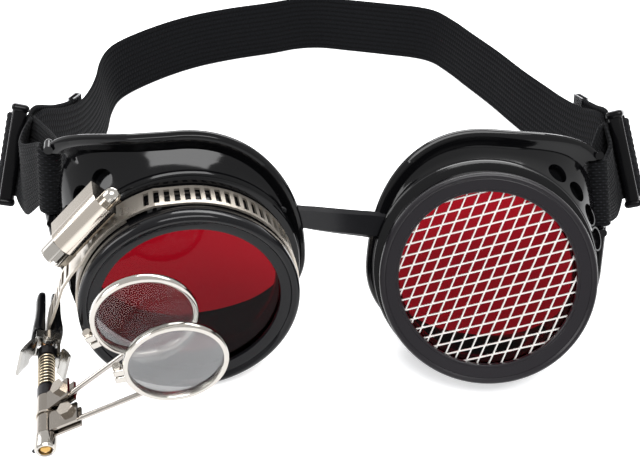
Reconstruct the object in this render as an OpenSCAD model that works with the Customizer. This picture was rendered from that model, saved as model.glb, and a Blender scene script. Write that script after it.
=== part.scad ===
// Cup goggles with a clamped-on pair of swing-out loupes, lying on a table.
// +X runs along the two eye cups, +Y away from the lenses to the head loop, +Z up from the table.

/* [Pose of the cups] */
// Distance between the centres of the two lens rings
cup_spacing = 77.6; // [74:0.2:90]
// How much further back the right lens ring lies
cup_stagger = 8.3; // [0:0.1:12]
// Turn of the left cup towards the right one, degrees
left_turn = 12; // [8:0.5:14]
// Rise of the left cup's axis, degrees
left_rise = 4; // [2:0.5:6]
// Turn of the right cup, degrees
right_turn = -8; // [-12:0.5:-4]
// Rise of the right cup's axis, which leans back on its flange, degrees
right_rise = 31; // [28:0.5:33]

/* [Lens stack] */
// Diameter of the eye lens
lens_d = 50; // [46:0.5:54]
// Thickness of the eye lens
lens_t = 1.8; // [1.2:0.1:2.2]
// Wall of the gasket sleeve between the lens and the cup
gasket_wall = 1.2; // [0.8:0.1:1.4]
// Clear opening in the lens ring
opening_d = 47; // [40:0.5:48]
// Thickness of the mesh screen
mesh_t = 0.5; // [0.3:0.1:0.6]
// Width of one mesh strand
strand_w = 0.55; // [0.4:0.05:0.9]
// Distance between neighbouring strands that run across
mesh_pitch_across = 2.9; // [2.4:0.05:4]
// Distance between neighbouring strands that lean
mesh_pitch_lean = 2.95; // [2.5:0.05:4]
// Slope of the strands that run across, degrees
mesh_slope = 19; // [10:1:25]
// Slope of the strands that lean, degrees
mesh_lean = 72.5; // [60:0.5:80]

/* [Lens rings] */
// Depth of the ring's lip, front to back
lip_depth = 4.2; // [3.6:0.1:5]
// How far the lip stands out past the groove
lip_over = 0.4; // [0.2:0.1:1]
// Wall of the threaded sleeve
sleeve_wall = 1.4; // [1:0.1:2]
// Length of the threaded sleeve behind the lip
sleeve_len = 6.2; // [5.4:0.1:7]

/* [Eye cups] */
// Wall of the neck outside the thread
neck_wall = 1.8; // [1.2:0.1:2.5]
// Width of the groove round the neck
groove_w = 9.6; // [9:0.1:10.5]
// Number of flats round the groove
groove_flats = 34; // [24:1:48]
// Height of the ridge behind the groove
ridge_h = 3.2; // [2.4:0.1:4]
// Width of the ridge
ridge_w = 3.6; // [3:0.1:4.4]
// Height of the flange above the lens axis
brow_h = 39.5; // [37:0.5:42]
// Height of the flange below the lens axis
cheek_h = 24.5; // [23.5:0.5:26.5]
// Reach of the flange to the nose side
nasal_w = 33.5; // [32:0.5:35]
// Reach of the flange to the temple side
temple_w = 36; // [35:0.5:38]
// Depth of the flange behind the ring's face, over the axis
flange_depth = 21; // [20:0.5:23]
// How much deeper the flange sweeps at the temple
temple_sweep = 14; // [11:0.5:15]
// How much deeper the flange lies at the brow than at the cheek
brow_sweep = 1.5; // [0:0.5:3]
// How much shallower the flange is at the nose
nasal_rise = 3; // [1:0.5:3.5]
// Diameter of the largest temple vent
vent_d = 6.2; // [4:0.2:6.6]

/* [Strap] */
// Width of the elastic webbing
webbing_w = 25; // [22:0.5:27]
// Thickness of the elastic webbing
webbing_t = 1.2; // [0.8:0.1:1.3]
// Diameter of the bars of the sliders
glide_bar_d = 2.4; // [1.8:0.1:2.6]
// Distance from a slider's middle bar to its outer bars
glide_bar_gap = 6.2; // [6:0.1:7]
// Thickness of each end of a slider, across the webbing
glide_end = 2.4; // [1.8:0.1:3.5]
// Length of the metal tip on each free end
tip_len = 7; // [5:0.5:9]
// Thickness of the metal of the tips
tip_t = 0.5; // [0.3:0.05:0.6]

/* [Nose bridge] */
// Width of the bridge strip
bridge_w = 8; // [6:0.5:9]
// Thickness of the bridge strip
bridge_t = 2.2; // [1.6:0.1:2.6]

/* [Hose clamp] */
// Width of the clamp band
band_w = 8; // [7:0.1:8.4]
// Thickness of the clamp band
band_t = 0.6; // [0.4:0.05:0.7]
// Width of a slot in the band
slot_w = 1.4; // [1:0.1:1.6]
// Length of a slot in the band
slot_len = 5.6; // [4.5:0.1:6]
// Angle from one band slot to the next
slot_step = 5; // [4.5:0.5:7]
// Angle round the neck at which the screw housing sits
housing_angle = 133; // [128:1:138]
// Length of the screw housing
housing_len = 16; // [14:0.5:17]
// Outer diameter of the worm's thread
worm_d = 6.6; // [6:0.1:6.8]
// Width of the hex head across its corners
hex_d = 8; // [7:0.2:8.4]

/* [Clip] */
// Distance from the jaw tips to the clip's pivot
jaw_len = 19.2; // [19:0.1:20]
// Width of the stamped jaws
jaw_w = 5; // [4.4:0.1:5.6]
// Thickness of the jaw metal
jaw_t = 0.8; // [0.6:0.05:1]
// Length of the rubber boots on the jaws
boot_len = 15; // [13:0.2:16]

/* [Loupe stem] */
// Diameter of the brass rod that carries the loupes
rod_d = 2.8; // [2.4:0.1:2.8]
// Length of the rod past the clip's pivot
rod_len = 33.8; // [33.4:0.1:36]
// Wire of the friction spring
spring_wire = 0.6; // [0.4:0.05:0.6]
// Turns of the friction spring
spring_turns = 10; // [6:1:10]
// Length of the friction spring
spring_len = 10.6; // [10.6:0.1:11]

/* [Loupes] */
// Outer diameter of a loupe rim
rim_d = 24.4; // [22:0.2:27]
// Depth of a loupe rim along its axis
rim_t = 2.6; // [2:0.1:3]
// Thickness of a loupe lens at its middle
loupe_lens_t = 2.4; // [1.8:0.1:3]
// Distance from the rod to the middle of the rear loupe
reach_rear = 37.4; // [36:0.2:40]
// Distance from the rod to the middle of the front loupe
reach_front = 36; // [34:0.2:39]
// Angle of the rear loupe above the horizontal at rest, degrees
swing_rear = 44; // [39:1:49]
// Angle of the front loupe above the horizontal at rest, degrees
swing_front = 26; // [21:1:31]
// Diameter of the arm wire
arm_d = 1.3; // [1:0.05:1.5]

/* [Hidden] */
// Middle of the whole object's box, which is put over the origin
box_middle = [-3.65, 78.53, 0];
$fn = 64;

// Clearances
turn_fit = 0.05;     // between a pin or thread and its hole, per side
seat_gap = 0.1;      // between pieces that are pressed or dropped into each other
free_gap = 0.3;      // between faces that move past each other
hug_gap = 0.4;       // between the webbing and the bars it goes round

// Lens stack, radii and depths behind the ring's front face
opening_r = opening_d / 2;
lens_r = lens_d / 2;
sleeve_in_r = lens_r + seat_gap;
sleeve_r = sleeve_in_r + sleeve_wall;
bore_r = sleeve_r + turn_fit;
groove_r = bore_r + neck_wall;
lip_r = groove_r + lip_over;
ridge_r = groove_r + ridge_h;
ledge_depth = 2.6;
mesh_depth = ledge_depth + 0.1;
lens_depth = mesh_depth + mesh_t + 0.1;
gasket_depth = lens_depth + lens_t;
neck_front = lip_depth + free_gap;
sleeve_end = lip_depth + sleeve_len;
shoulder_depth = sleeve_end + free_gap;
shoulder_r = lens_r - gasket_wall;
gasket_len = shoulder_depth - free_gap - gasket_depth;
ridge_front = neck_front + groove_w;
ridge_back = ridge_front + ridge_w;
shoulder_back = shoulder_depth + 2;

// Cup shell
temple_pow = 0.52;
nasal_pow = 0.88;
ring_count = 48;
wall_root_r = ridge_r - 1.9;
wall_inner_r = bore_r + 0.7;
flange_rest_depth = flange_depth + 1.2;
vent_row = ridge_r + 3.6;
vent_deep = 3.4;

// Band round the left neck
band_depth = neck_front + groove_w / 2;
band_r = groove_r + 0.35 + band_t / 2;
band_lap_r = band_r + band_t + 0.1;

// Height of each cup's centre: the left rests on its clamp band, the right on its flange
relief_v = cheek_h + (flange_rest_depth - ridge_front) * tan(right_rise);
left_z = max((band_r + band_t / 2) * cos(left_rise) + (band_depth + band_w / 2) * sin(left_rise),
             relief_v * cos(left_rise) + ridge_front * sin(left_rise));
right_z = cheek_h * cos(right_rise) + flange_rest_depth * sin(right_rise);
cup_mid_y = -0.55;
left_c = [-cup_spacing / 2, cup_mid_y - cup_stagger / 2, left_z];
right_c = [cup_spacing / 2, cup_mid_y + cup_stagger / 2, right_z];

// Strap lugs, in the right cup's own frame
lug_u = temple_w - 3;
lug_v = 22.8;
lug_tilt = 9;
lug_bar_d = 3.2;
lug_neck = 0.8;
lug_root = flange_depth + 0.8 * temple_sweep - 1.6;
lug_slot_w = webbing_t + 3 * hug_gap;
lug_bar_depth = lug_root + lug_neck + lug_slot_w + lug_bar_d / 2;
lug_slot_h = webbing_w - 4.5;
lug_side = 2.2;
bunch = (lug_slot_h - 2 * hug_gap) / webbing_w;

// Sliders: middle, direction across the webbing and direction towards the head loop
glide_l = [-100, 56.5, 37];
glide_l_w = [0.19, 0.54, 0.82];
glide_l_e = [-0.3, 0.9, -0.3];
glide_r = [92, 64.7, 29.8];
glide_r_w = [-0.23, 0.56, 0.8];
glide_r_e = [0.3, 0.9, -0.2];
glide_h = webbing_w + 1.4 + 2 * glide_end;
glide_end_d = glide_bar_d + 1;

// Screw housing on the band
worm_r = worm_d / 2;
worm_axis_r = band_lap_r + band_t / 2 + free_gap + worm_r;
housing_wall = 0.5;
arch_r = worm_r + 0.4;
foot_half = band_w / 2 + 0.15;

// Stem frame: the rod's axis, from the jaw tips forward
stem_turn = 13.5;
clip_roll = 20;  // turn of the jaws about the stem, to lie along the band's tail
handle_w = 8.5;
boot_h = 6.2;
ferrule_z = jaw_len + 1.8;
ferrule_len = 2.6;
ferrule_r = 2.2;
spring_z = ferrule_z + ferrule_len;
spring_r = rod_d / 2 + 0.15 + spring_wire / 2;
collar_z = spring_z + spring_len;
collar_len = 3;
collar_r = 2.2;
bracket_h = 5.4;
bracket_wall = 0.7;
bracket_rear_z = collar_z + collar_len + 0.1;
washer_z = bracket_rear_z + bracket_h + 0.1;
washer_t = 0.5;
bracket_front_z = washer_z + washer_t + 0.1;
nut_z = bracket_front_z + bracket_h + 0.1;
nut_len = 2;
nut_r = 2.5;
stem_end = jaw_len + rod_len;
bracket_bore_r = rod_d / 2 + turn_fit;
bracket_leaf = 8.6;
arm_offset_z = 1.4;
screw_offset_z = -1.2;
screw_r = 0.75;
rim_r = rim_d / 2;
rim_inner_r = rim_r - 1.3;
loupe_lens_r = rim_r - 0.75;
arm_drop = 17.5;     // degrees round the rim, past the side nearest the rod, where the arm joins
barrel_turn = -24; // degrees round the rim, past the same side, where the rim closes

function unit(v) = v / norm(v);
function mix(a, b, f) = a + (b - a) * f;

// Axes of a cup or of the stem, turned about +Z and raised
function ax_x(turn) = [cos(turn), sin(turn), 0];
function ax_n(turn, rise) = [sin(turn) * cos(rise), -cos(turn) * cos(rise), sin(rise)];
function ax_v(turn, rise) = cross(ax_n(turn, rise), ax_x(turn));
function placed(c, turn, rise, p) =
    c + p[0] * ax_x(turn) + p[1] * ax_v(turn, rise) + p[2] * ax_n(turn, rise);

// Where the clip bites the band's tail, in the left cup's frame, and how far that is along the stem
grip = [-groove_r - 10.2, -7.65, -band_depth];
grip_z = 13.1;
stem_tip = placed(left_c, left_turn, left_rise, grip) - grip_z * ax_n(stem_turn, 0);

module at_left() translate(left_c) rotate([90 - left_rise, 0, left_turn]) children();
module at_right() translate(right_c) rotate([90 - right_rise, 0, right_turn]) children();
module at_stem() translate(stem_tip) rotate([90, 0, stem_turn]) children();
module at_clip() at_stem() rotate([0, 0, -clip_roll]) children();
module from_face(depth) translate([0, 0, -depth]) children();

// Ring by revolving [radius, depth] points about the lens axis
module turned(points) rotate_extrude($fn = 96) polygon([for (p = points) [p[0], -p[1]]]);

// Polygon of a bent strip of thickness t along a list of points
function strip_side(pts, t, side) = [for (i = [0 : len(pts) - 1])
    let (a = pts[max(i - 1, 0)], b = pts[min(i + 1, len(pts) - 1)], d = unit(b - a))
    pts[i] + side * t / 2 * [-d[1], d[0]]];
module bent_strip(pts, t) {
    left = strip_side(pts, t, 1);
    right = strip_side(pts, t, -1);
    polygon(concat(left, [for (i = [len(right) - 1 : -1 : 0]) right[i]]));
}

// Solid through a list of rings of n points each, capped or closed on itself
module skin(rings, n, closed = false) {
    last = len(rings) - 1;
    wrap = closed ? last : last - 1;
    sides = [for (i = [0 : wrap], j = [0 : n - 1])
        let (a = i * n + j, b = i * n + (j + 1) % n,
             c = ((i + 1) % (last + 1)) * n + j, d = ((i + 1) % (last + 1)) * n + (j + 1) % n)
        each [[a, b, d], [a, d, c]]];
    caps = closed ? [] : [[for (j = [n - 1 : -1 : 0]) j], [for (j = [0 : n - 1]) last * n + j]];
    polyhedron(points = [for (r = rings) each r], faces = concat(sides, caps), convexity = 10);
}

// Flat ribbon along stations: a middle point, a direction across, and how much of its width shows
module ribbon(route, full_w, t) {
    rings = [for (i = [0 : len(route) - 1])
        let (p = route[i][0], a = route[max(i - 1, 0)][0], b = route[min(i + 1, len(route) - 1)][0],
             w = full_w * (is_undef(route[i][2]) ? 1 : route[i][2]), across = unit(route[i][1]), face = unit(cross(unit(b - a), across)))
        [p - across * w / 2 - face * t / 2, p - across * w / 2 + face * t / 2,
         p + across * w / 2 + face * t / 2, p + across * w / 2 - face * t / 2]];
    skin(rings, 4);
}

// Round wire along a list of points
module wire(pts, d, sides = 8) {
    rings = [for (i = [0 : len(pts) - 1])
        let (t = unit(pts[min(i + 1, len(pts) - 1)] - pts[max(i - 1, 0)]),
             side = unit(cross(abs(t[2]) > 0.9 ? [1, 0, 0] : [0, 0, 1], t)), up = cross(t, side))
        [for (k = [0 : sides - 1]) pts[i] + d / 2 * (cos(360 * k / sides) * side - sin(360 * k / sides) * up)]];
    skin(rings, sides);
}

// Outline of the face flange, temple side at +X
function flange_pt(t) =
    let (c = cos(t), s = sin(t), p = c > 0 && s > 0 ? temple_pow : nasal_pow)
    [(c > 0 ? temple_w : nasal_w) * sign(c) * pow(abs(c), p),
     (s > 0 ? brow_h : cheek_h) * sign(s) * pow(abs(s), p)];
function flange_at(o) = flange_depth + (o[1] > 0 ? brow_sweep * pow(o[1] / brow_h, 2) : 0)
    + (o[0] > 0 ? temple_sweep * pow(o[0] / temple_w, 2) : -nasal_rise * pow(o[0] / nasal_w, 2));

// One ring of the cup's wall: from a round root (f = 0) to the flange outline (f = 1)
function wall_ring(f, root_r, scale, shift) = [for (k = [0 : ring_count - 1])
    let (t = 360 * k / ring_count, o = flange_pt(t), xy = mix(root_r * [cos(t), sin(t)], o * scale, f))
    [xy[0], xy[1], -mix(ridge_back - 0.4, flange_at(o), f) - shift]];

module cup_wall() {
    skin([wall_ring(0, wall_root_r, 1, -1.8),
          wall_ring(0.3, wall_root_r + 0.9, 0.9, 0.5),
          wall_ring(0.7, wall_root_r + 0.9, 0.9, 0.3),
          wall_ring(1, 0, 0.9, 0.3),
          wall_ring(1, 0, 0.935, -0.9),
          wall_ring(1, 0, 0.975, -1),
          wall_ring(1, 0, 1, 0),
          wall_ring(1, 0, 1, 1.2),
          wall_ring(1, 0, 0.975, 2.2),
          wall_ring(1, 0, 0.91, 2.4),
          wall_ring(1, 0, 0.84, 1.9),
          wall_ring(0.6, wall_inner_r + 0.4, 0.84, 0),
          wall_ring(0.25, wall_inner_r + 0.2, 0.84, 0),
          wall_ring(0, wall_inner_r, 1, -1.8)], ring_count, closed = true);
}

module cup_neck() {
    turned([[bore_r, neck_front], [groove_r - 0.4, neck_front], [groove_r - 0.4, ridge_front],
            [ridge_r - 1, ridge_front], [ridge_r - 0.4, ridge_front + 0.5],
            [ridge_r - 0.4, ridge_front + 1.1], [ridge_r - 0.9, ridge_front + 1.5],
            [ridge_r - 0.2, ridge_front + 1.9], [ridge_r, ridge_front + 2.4], [ridge_r, ridge_back],
            [bore_r - 0.4, ridge_back], [shoulder_r + 0.8, shoulder_back], [shoulder_r, shoulder_back - 0.5],
            [shoulder_r, shoulder_depth], [bore_r, shoulder_depth]]);
    from_face(ridge_front) linear_extrude(groove_w) difference() {
        polygon([for (k = [0 : groove_flats - 1]) groove_r * [cos(360 * k / groove_flats), sin(360 * k / groove_flats)]]);
        circle(r = groove_r - 0.8);
    }
}

// Tab behind the flange at the temple, with the slot and bar for the webbing
module strap_lug() {
    plate_h = lug_slot_h + 2 * lug_side;
    plate_end = lug_bar_depth;
    translate([lug_u, lug_v, 0]) rotate([0, 0, lug_tilt]) {
        difference() {
            translate([-lug_bar_d / 2, -plate_h / 2, -plate_end])
                cube([lug_bar_d, plate_h, plate_end - lug_root]);
            translate([-lug_bar_d, -lug_slot_h / 2, -plate_end - 1])
                cube([2 * lug_bar_d, lug_slot_h, plate_end + 1 - lug_root - lug_neck]);
        }
        translate([0, -plate_h / 2, -lug_bar_depth]) rotate([-90, 0, 0]) cylinder(d = lug_bar_d, h = plate_h);
    }
}

// Gap in the flange's edge, so that the webbing can pass round the bar
module lug_notch() {
    translate([lug_u, lug_v, 0]) rotate([0, 0, lug_tilt])
        translate([-2 * lug_bar_d, -lug_slot_h / 2, -lug_bar_depth - 2 * lug_bar_d])
            cube([4 * lug_bar_d, lug_slot_h, lug_bar_depth + 2 * lug_bar_d - lug_root - lug_neck]);
}

module temple_vents(d, h, floor_t = 0) {
    for (ang = [18, 31, 44, 57]) {
        o = vent_row * [cos(ang), sin(ang)];
        depth = mix(ridge_back, flange_at(o), 0.42);
        translate([o[0], o[1], -depth]) rotate([0, 0, ang]) rotate([0, 60, 0])
            translate([0, 0, -vent_deep - floor_t]) cylinder(d = d, h = h);
    }
}

module cup_solid() {
    difference() {
        union() {
            cup_wall();
            cup_neck();
            temple_vents(vent_d + 1.6, vent_deep - 1, 0.8);
        }
        temple_vents(vent_d, vent_deep + 8);
        lug_notch();
        // Flat under the cup, where the right one rests on the table
        translate([0, -cheek_h, -flange_rest_depth]) rotate([right_rise, 0, 0])
            translate([-lens_d, -2 * lens_d, -lens_d]) cube(2 * lens_d);
    }
    strap_lug();
}

// Bridge strip: where it passes through each cup's wall, and its ends inside
bridge_hole_l = placed(left_c, left_turn, left_rise, [ridge_r - 3.35, 12, -ridge_back - 1.9]);
bridge_hole_r = placed(right_c, right_turn, right_rise, [2.95 - ridge_r, 9.5, -ridge_back - 1.9]);
bridge_mid = (bridge_hole_l + bridge_hole_r) / 2 + [0, -1.2, 0.8];
bridge_w_l = [0, 0, 1];
bridge_w_r = [0.07, 0.35, 0.93];
bridge_dir_l = unit(bridge_mid - bridge_hole_l);
bridge_dir_r = unit(bridge_mid - bridge_hole_r);
function square_to(w, d) = unit(w - (w * d) * d);
bridge_head = 1.8;
bridge_inside = 5;
head_size = [bridge_head, bridge_t + 0.8, bridge_w + 2.4];

// Box with its middle at p, x along d, z along w
module box_along(p, d, w, size) {
    e = unit(d);
    z = square_to(w, e);
    y = cross(z, e);
    multmatrix([[e[0], y[0], z[0], p[0]], [e[1], y[1], z[1], p[1]], [e[2], y[2], z[2], p[2]], [0, 0, 0, 1]])
        cube(size, center = true);
}

module bridge_slot(p, d, w) {
    box_along(p, d, w, [14, bridge_t + 2 * free_gap, bridge_w + 2 * free_gap]);
    box_along(p - bridge_inside * d, d, w, head_size + 2 * free_gap * [1, 1, 1]);
}

module eye_cup_left() {
    color("#15161a") difference() {
        at_left() mirror([1, 0, 0]) cup_solid();
        bridge_slot(bridge_hole_l, bridge_dir_l, bridge_w_l);
    }
}

module eye_cup_right() {
    color("#15161a") difference() {
        at_right() cup_solid();
        bridge_slot(bridge_hole_r, bridge_dir_r, bridge_w_r);
    }
}

module lens_ring() {
    turned([[opening_r, ledge_depth], [opening_r, 2.2], [opening_r + 0.7, 0.7], [opening_r + 1.6, 0.15],
            [opening_r + 2.8, 0], [lip_r - 1.2, 0.5], [lip_r - 0.4, 1.6], [lip_r, 3],
            [lip_r, lip_depth - 0.4], [lip_r - 0.3, lip_depth], [sleeve_r, lip_depth],
            [sleeve_r, sleeve_end], [sleeve_in_r, sleeve_end], [sleeve_in_r, ledge_depth]]);
}
module lens_ring_left() color("#1c1d21") at_left() lens_ring();
module lens_ring_right() color("#1c1d21") at_right() lens_ring();

module eye_lens() from_face(gasket_depth) cylinder(r = lens_r, h = lens_t, $fn = 96);
module eye_lens_left() color("#8e1a2b") at_left() eye_lens();
module eye_lens_right() color("#8e1a2b") at_right() eye_lens();

module lens_gasket()
    turned([[shoulder_r, gasket_depth], [lens_r, gasket_depth], [lens_r, gasket_depth + gasket_len - 0.4],
            [lens_r - 0.4, gasket_depth + gasket_len], [shoulder_r, gasket_depth + gasket_len]]);
module lens_gasket_left() color("#202124") at_left() lens_gasket();
module lens_gasket_right() color("#202124") at_right() lens_gasket();

// Expanded metal: strands that run across and strands that lean, inside a rim
module mesh_screen() {
    mesh_r = lens_r - 0.1;
    across_n = ceil(lens_r / mesh_pitch_across);
    lean_n = ceil(lens_r / mesh_pitch_lean);
    color("#c9ccd0") at_right() from_face(mesh_depth + mesh_t) linear_extrude(mesh_t) {
        intersection() {
            circle(r = mesh_r, $fn = 96);
            union() {
                for (k = [-across_n : across_n]) rotate(mesh_slope)
                    translate([-lens_d, k * mesh_pitch_across - strand_w / 2]) square([2 * lens_d, strand_w]);
                for (k = [-lean_n : lean_n]) rotate(mesh_lean)
                    translate([-lens_d, k * mesh_pitch_lean - strand_w / 2]) square([2 * lens_d, strand_w]);
            }
        }
        difference() {
            circle(r = mesh_r, $fn = 96);
            circle(r = opening_r + 0.3, $fn = 96);
        }
    }
}

module nose_bridge() {
    wl = square_to(bridge_w_l, bridge_dir_l);
    wr = square_to(bridge_w_r, bridge_dir_r);
    in_l = bridge_hole_l - bridge_inside * bridge_dir_l;
    in_r = bridge_hole_r - bridge_inside * bridge_dir_r;
    color("#26272b") {
        ribbon([[in_l, wl], [bridge_hole_l, wl], [bridge_hole_l + 5 * bridge_dir_l, wl],
                [bridge_hole_l + 9 * bridge_dir_l, mix(wl, wr, 0.25)], [bridge_mid, mix(wl, wr, 0.5)],
                [bridge_hole_r + 9 * bridge_dir_r, mix(wl, wr, 0.75)],
                [bridge_hole_r + 5 * bridge_dir_r, wr], [bridge_hole_r, wr], [in_r, wr]], bridge_w, bridge_t);
        box_along(in_l, bridge_dir_l, wl, head_size);
        box_along(in_r, bridge_dir_r, wr, head_size);
    }
}

// Webbing weave round a slider's three bars, as [along, out] points from the head loop's side
bar_clear = glide_bar_d / 2 + hug_gap + webbing_t / 2;
lap = webbing_t + hug_gap;
function tail_weave() = [
    [glide_bar_gap + 3, -bar_clear], [glide_bar_gap, -bar_clear], [glide_bar_gap - 1.5, -bar_clear + 0.5],
    [glide_bar_gap - bar_clear, -0.7], [bar_clear + lap, 1.4], [bar_clear + lap - 0.7, 2.9],
    [1.7, bar_clear + lap - 0.1], [0, bar_clear + lap],
    [-1.7, bar_clear + lap - 0.1], [-bar_clear - lap + 0.7, 2.9], [-bar_clear - lap, 1.4],
    [-glide_bar_gap + bar_clear, -0.7], [-glide_bar_gap + 1.5, -bar_clear + 0.5],
    [-glide_bar_gap, -bar_clear], [-glide_bar_gap - 1.8, -bar_clear]];
function main_weave() = [
    [-glide_bar_gap - 1.8, -bar_clear - lap], [-glide_bar_gap + 1, -bar_clear - lap],
    [-bar_clear - 0.9, -bar_clear - lap + 0.5], [-bar_clear, -bar_clear], [-bar_clear, 0.9],
    [-1.5, bar_clear - 0.3], [0, bar_clear], [1.5, bar_clear - 0.3], [bar_clear, 0.9],
    [bar_clear, -bar_clear], [bar_clear + 0.9, -bar_clear - lap + 0.5],
    [glide_bar_gap - 1, -bar_clear - lap], [glide_bar_gap + 3, -bar_clear - lap]];

// Loop round the lug's bar, as [back, out] points from the outer run to the inner one
lug_clear = lug_bar_d / 2 + hug_gap + webbing_t / 2;
function lug_loop() = concat([[2.5, lug_clear]],
    [for (a = [90 : 30 : 270]) lug_clear * 1.03 * [cos(a), sin(a)]], [[2.5, -lug_clear]]);

// Stations of a list of plane points: origin o, along e, out t, width w
function stations(pts, o, e, t, w, k = 1) = [for (p = pts) [o + p[0] * e + p[1] * t, w, k]];

// Whole end of the strap, from its free end through slider, lug and slider again
function strap_end(tail, glide, gw, ge, side, bulge, lug_o, lug_e, lug_t, lug_w) =
    let (w = unit(gw), t = unit(cross(w, ge)), e = cross(t, w))
    concat(tail, stations(tail_weave(), glide, e, side * t, w), bulge,
           stations(lug_loop(), lug_o, lug_e, lug_t, lug_w, bunch),
           stations(main_weave(), glide, e, side * t, w));

function lug_point(x) = [x * lug_u, lug_v, -lug_bar_depth];
lug_l = placed(left_c, left_turn, left_rise, lug_point(-1));
lug_r = placed(right_c, right_turn, right_rise, lug_point(1));
lug_l_t = -cos(lug_tilt) * ax_x(left_turn) + sin(lug_tilt) * ax_v(left_turn, left_rise);
lug_l_w = sin(lug_tilt) * ax_x(left_turn) + cos(lug_tilt) * ax_v(left_turn, left_rise);
lug_r_t = cos(lug_tilt) * ax_x(right_turn) + sin(lug_tilt) * ax_v(right_turn, right_rise);
lug_r_w = -sin(lug_tilt) * ax_x(right_turn) + cos(lug_tilt) * ax_v(right_turn, right_rise);

// Free ends, outside the head loop, from their tips to the sliders
tail_l = [[[-94.8, 106, 15.8], [0.05, 0.236, 0.97]], [[-95.7, 98.8, 17.6], [0.05, 0.236, 0.97]],
          [[-95.9, 97.2, 18], [0.05, 0.236, 0.97]],
          [[-98, 86, 23], [0.1, 0.3, 0.95]], [[-101, 73, 30.2], [0.15, 0.4, 0.9]]];
tail_r = [[[88.5, 104, 16.5], [-0.04, 0.275, 0.96]], [[89.5, 96.8, 18.6], [-0.04, 0.275, 0.96]],
          [[89.7, 95.36, 19.02], [-0.04, 0.275, 0.96]],
          [[91.3, 87, 22], [-0.1, 0.35, 0.93]], [[92.6, 80, 24.8], [-0.14, 0.42, 0.9]]];
half_w = webbing_w / 2;
// Where the webbing bows out between slider and lug
bulge_l = [[[-91.8, 38, 40.8], [0.1, 0.14, 0.99], 0.96]];
bulge_r = [[[85.2, 51, 31], [-0.16, 0.42, 0.89], 0.96]];
head_loop = [
    [[-98, 72, 29.5], [0.15, 0.4, 0.9]], [[-95, 86, 22], [0.1, 0.3, 0.95]],
    [[-92.6, 101, 16.2], [0.05, 0.18, 0.98]], [[-91.6, 116, half_w + 0.6], [0, 0.05, 1]],
    [[-91.6, 128, half_w], [0, 0, 1]], [[-92.4, 140, half_w], [0, 0, 1]],
    [[-91.4, 150, half_w], [0, 0, 1]], [[-88, 157, half_w], [0, 0, 1]],
    [[-76, 170, half_w], [0, 0, 1]], [[-62, 180.5, half_w], [0, 0, 1]],
    [[-46, 188, half_w], [0, 0, 1]], [[-28, 194, half_w], [0, 0, 1]],
    [[-16, 198.6, half_w], [0, 0, 1]], [[-6, 199.6, half_w], [0, 0, 1]],
    [[8, 196.8, half_w], [0, 0, 1]], [[26, 192.6, half_w], [0, 0, 1]],
    [[38, 189.5, half_w], [0, 0, 1]], [[45, 185.5, half_w], [0, 0, 1]],
    [[51.5, 176, half_w], [0, 0, 1]], [[58, 163.5, half_w], [0, 0, 1]],
    [[66, 148, half_w], [0, 0, 1]], [[73, 132.5, half_w], [0, 0, 1]],
    [[79, 119, half_w + 0.5], [0, 0.04, 1]], [[83.2, 107, half_w + 2], [-0.03, 0.12, 0.99]],
    [[87, 93, 18], [-0.05, 0.24, 0.97]], [[90.2, 79, 24], [-0.12, 0.4, 0.91]]];

function flip(list) = [for (i = [len(list) - 1 : -1 : 0]) list[i]];
strap_route = concat(
    strap_end(tail_l, glide_l, glide_l_w, glide_l_e, 1, bulge_l,
              lug_l, -ax_n(left_turn, left_rise), lug_l_t, lug_l_w),
    head_loop,
    flip(strap_end(tail_r, glide_r, glide_r_w, glide_r_e, -1, bulge_r,
                   lug_r, -ax_n(right_turn, right_rise), lug_r_t, lug_r_w)));

module elastic_strap() color("#1b1b1d") ribbon(strap_route, webbing_w, webbing_t);

// Three-bar slider, x along the webbing and z across it
module slider_at(p, gw, ge) {
    w = unit(gw);
    t = unit(cross(w, ge));
    e = cross(t, w);
    multmatrix([[e[0], t[0], w[0], p[0]], [e[1], t[1], w[1], p[1]], [e[2], t[2], w[2], p[2]], [0, 0, 0, 1]]) {
        for (x = [-1, 0, 1]) translate([x * glide_bar_gap, 0, 0])
            cylinder(d = glide_bar_d, h = glide_h, center = true, $fn = 32);
        for (z = [-1, 1]) translate([0, 0, z * (glide_h - glide_end) / 2]) {
            cube([2 * glide_bar_gap, glide_end_d, glide_end], center = true);
            for (x = [-1, 1]) translate([x * glide_bar_gap, 0, 0])
                cylinder(d = glide_end_d, h = glide_end, center = true, $fn = 32);
        }
    }
}
module strap_slider_left() color("#121214") slider_at(glide_l, glide_l_w, glide_l_e);
module strap_slider_right() color("#121214") slider_at(glide_r, glide_r_w, glide_r_e);

// Folded metal tip on a free end
module strap_tip(tail) {
    p = tail[0][0];
    d = unit(tail[0][0] - tail[1][0]);
    w = tail[0][1];
    color("#b9bcc0") difference() {
        box_along(p + d * (seat_gap + tip_t - tip_len / 2), d, w,
                  [tip_len, webbing_t + 2 * (seat_gap + tip_t), webbing_w + 0.4]);
        box_along(p + d * (seat_gap - tip_len / 2), d, w, [tip_len, webbing_t + 2 * seat_gap, webbing_w + 2]);
    }
}
module strap_tip_left() strap_tip(tail_l);
module strap_tip_right() strap_tip(tail_r);

// Band: one turn, a lap through the housing, then the free tail down to the clip
lap_start = housing_angle - 18;
lap_end = housing_angle + 17;
function polar(r, a) = r * [cos(a), sin(a)];
tail_dir = [-sin(clip_roll), -cos(clip_roll)];
tail_grip = [grip[0], grip[1]];
tail_points = [[-groove_r - 0.35, 11.9], [-groove_r - 3.3, 7.8], [-groove_r - 5.3, 3.2],
               tail_grip - 3.7 * tail_dir + [1.8, 3.4], tail_grip - 3.7 * tail_dir, tail_grip + 3.2 * tail_dir];
band_line = concat([for (a = [lap_start + 2 : 4 : lap_start + 334]) polar(band_r, a)],
                   [for (a = [lap_start + 346 : 4 : lap_end + 360]) polar(band_lap_r, a)], tail_points);

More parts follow.
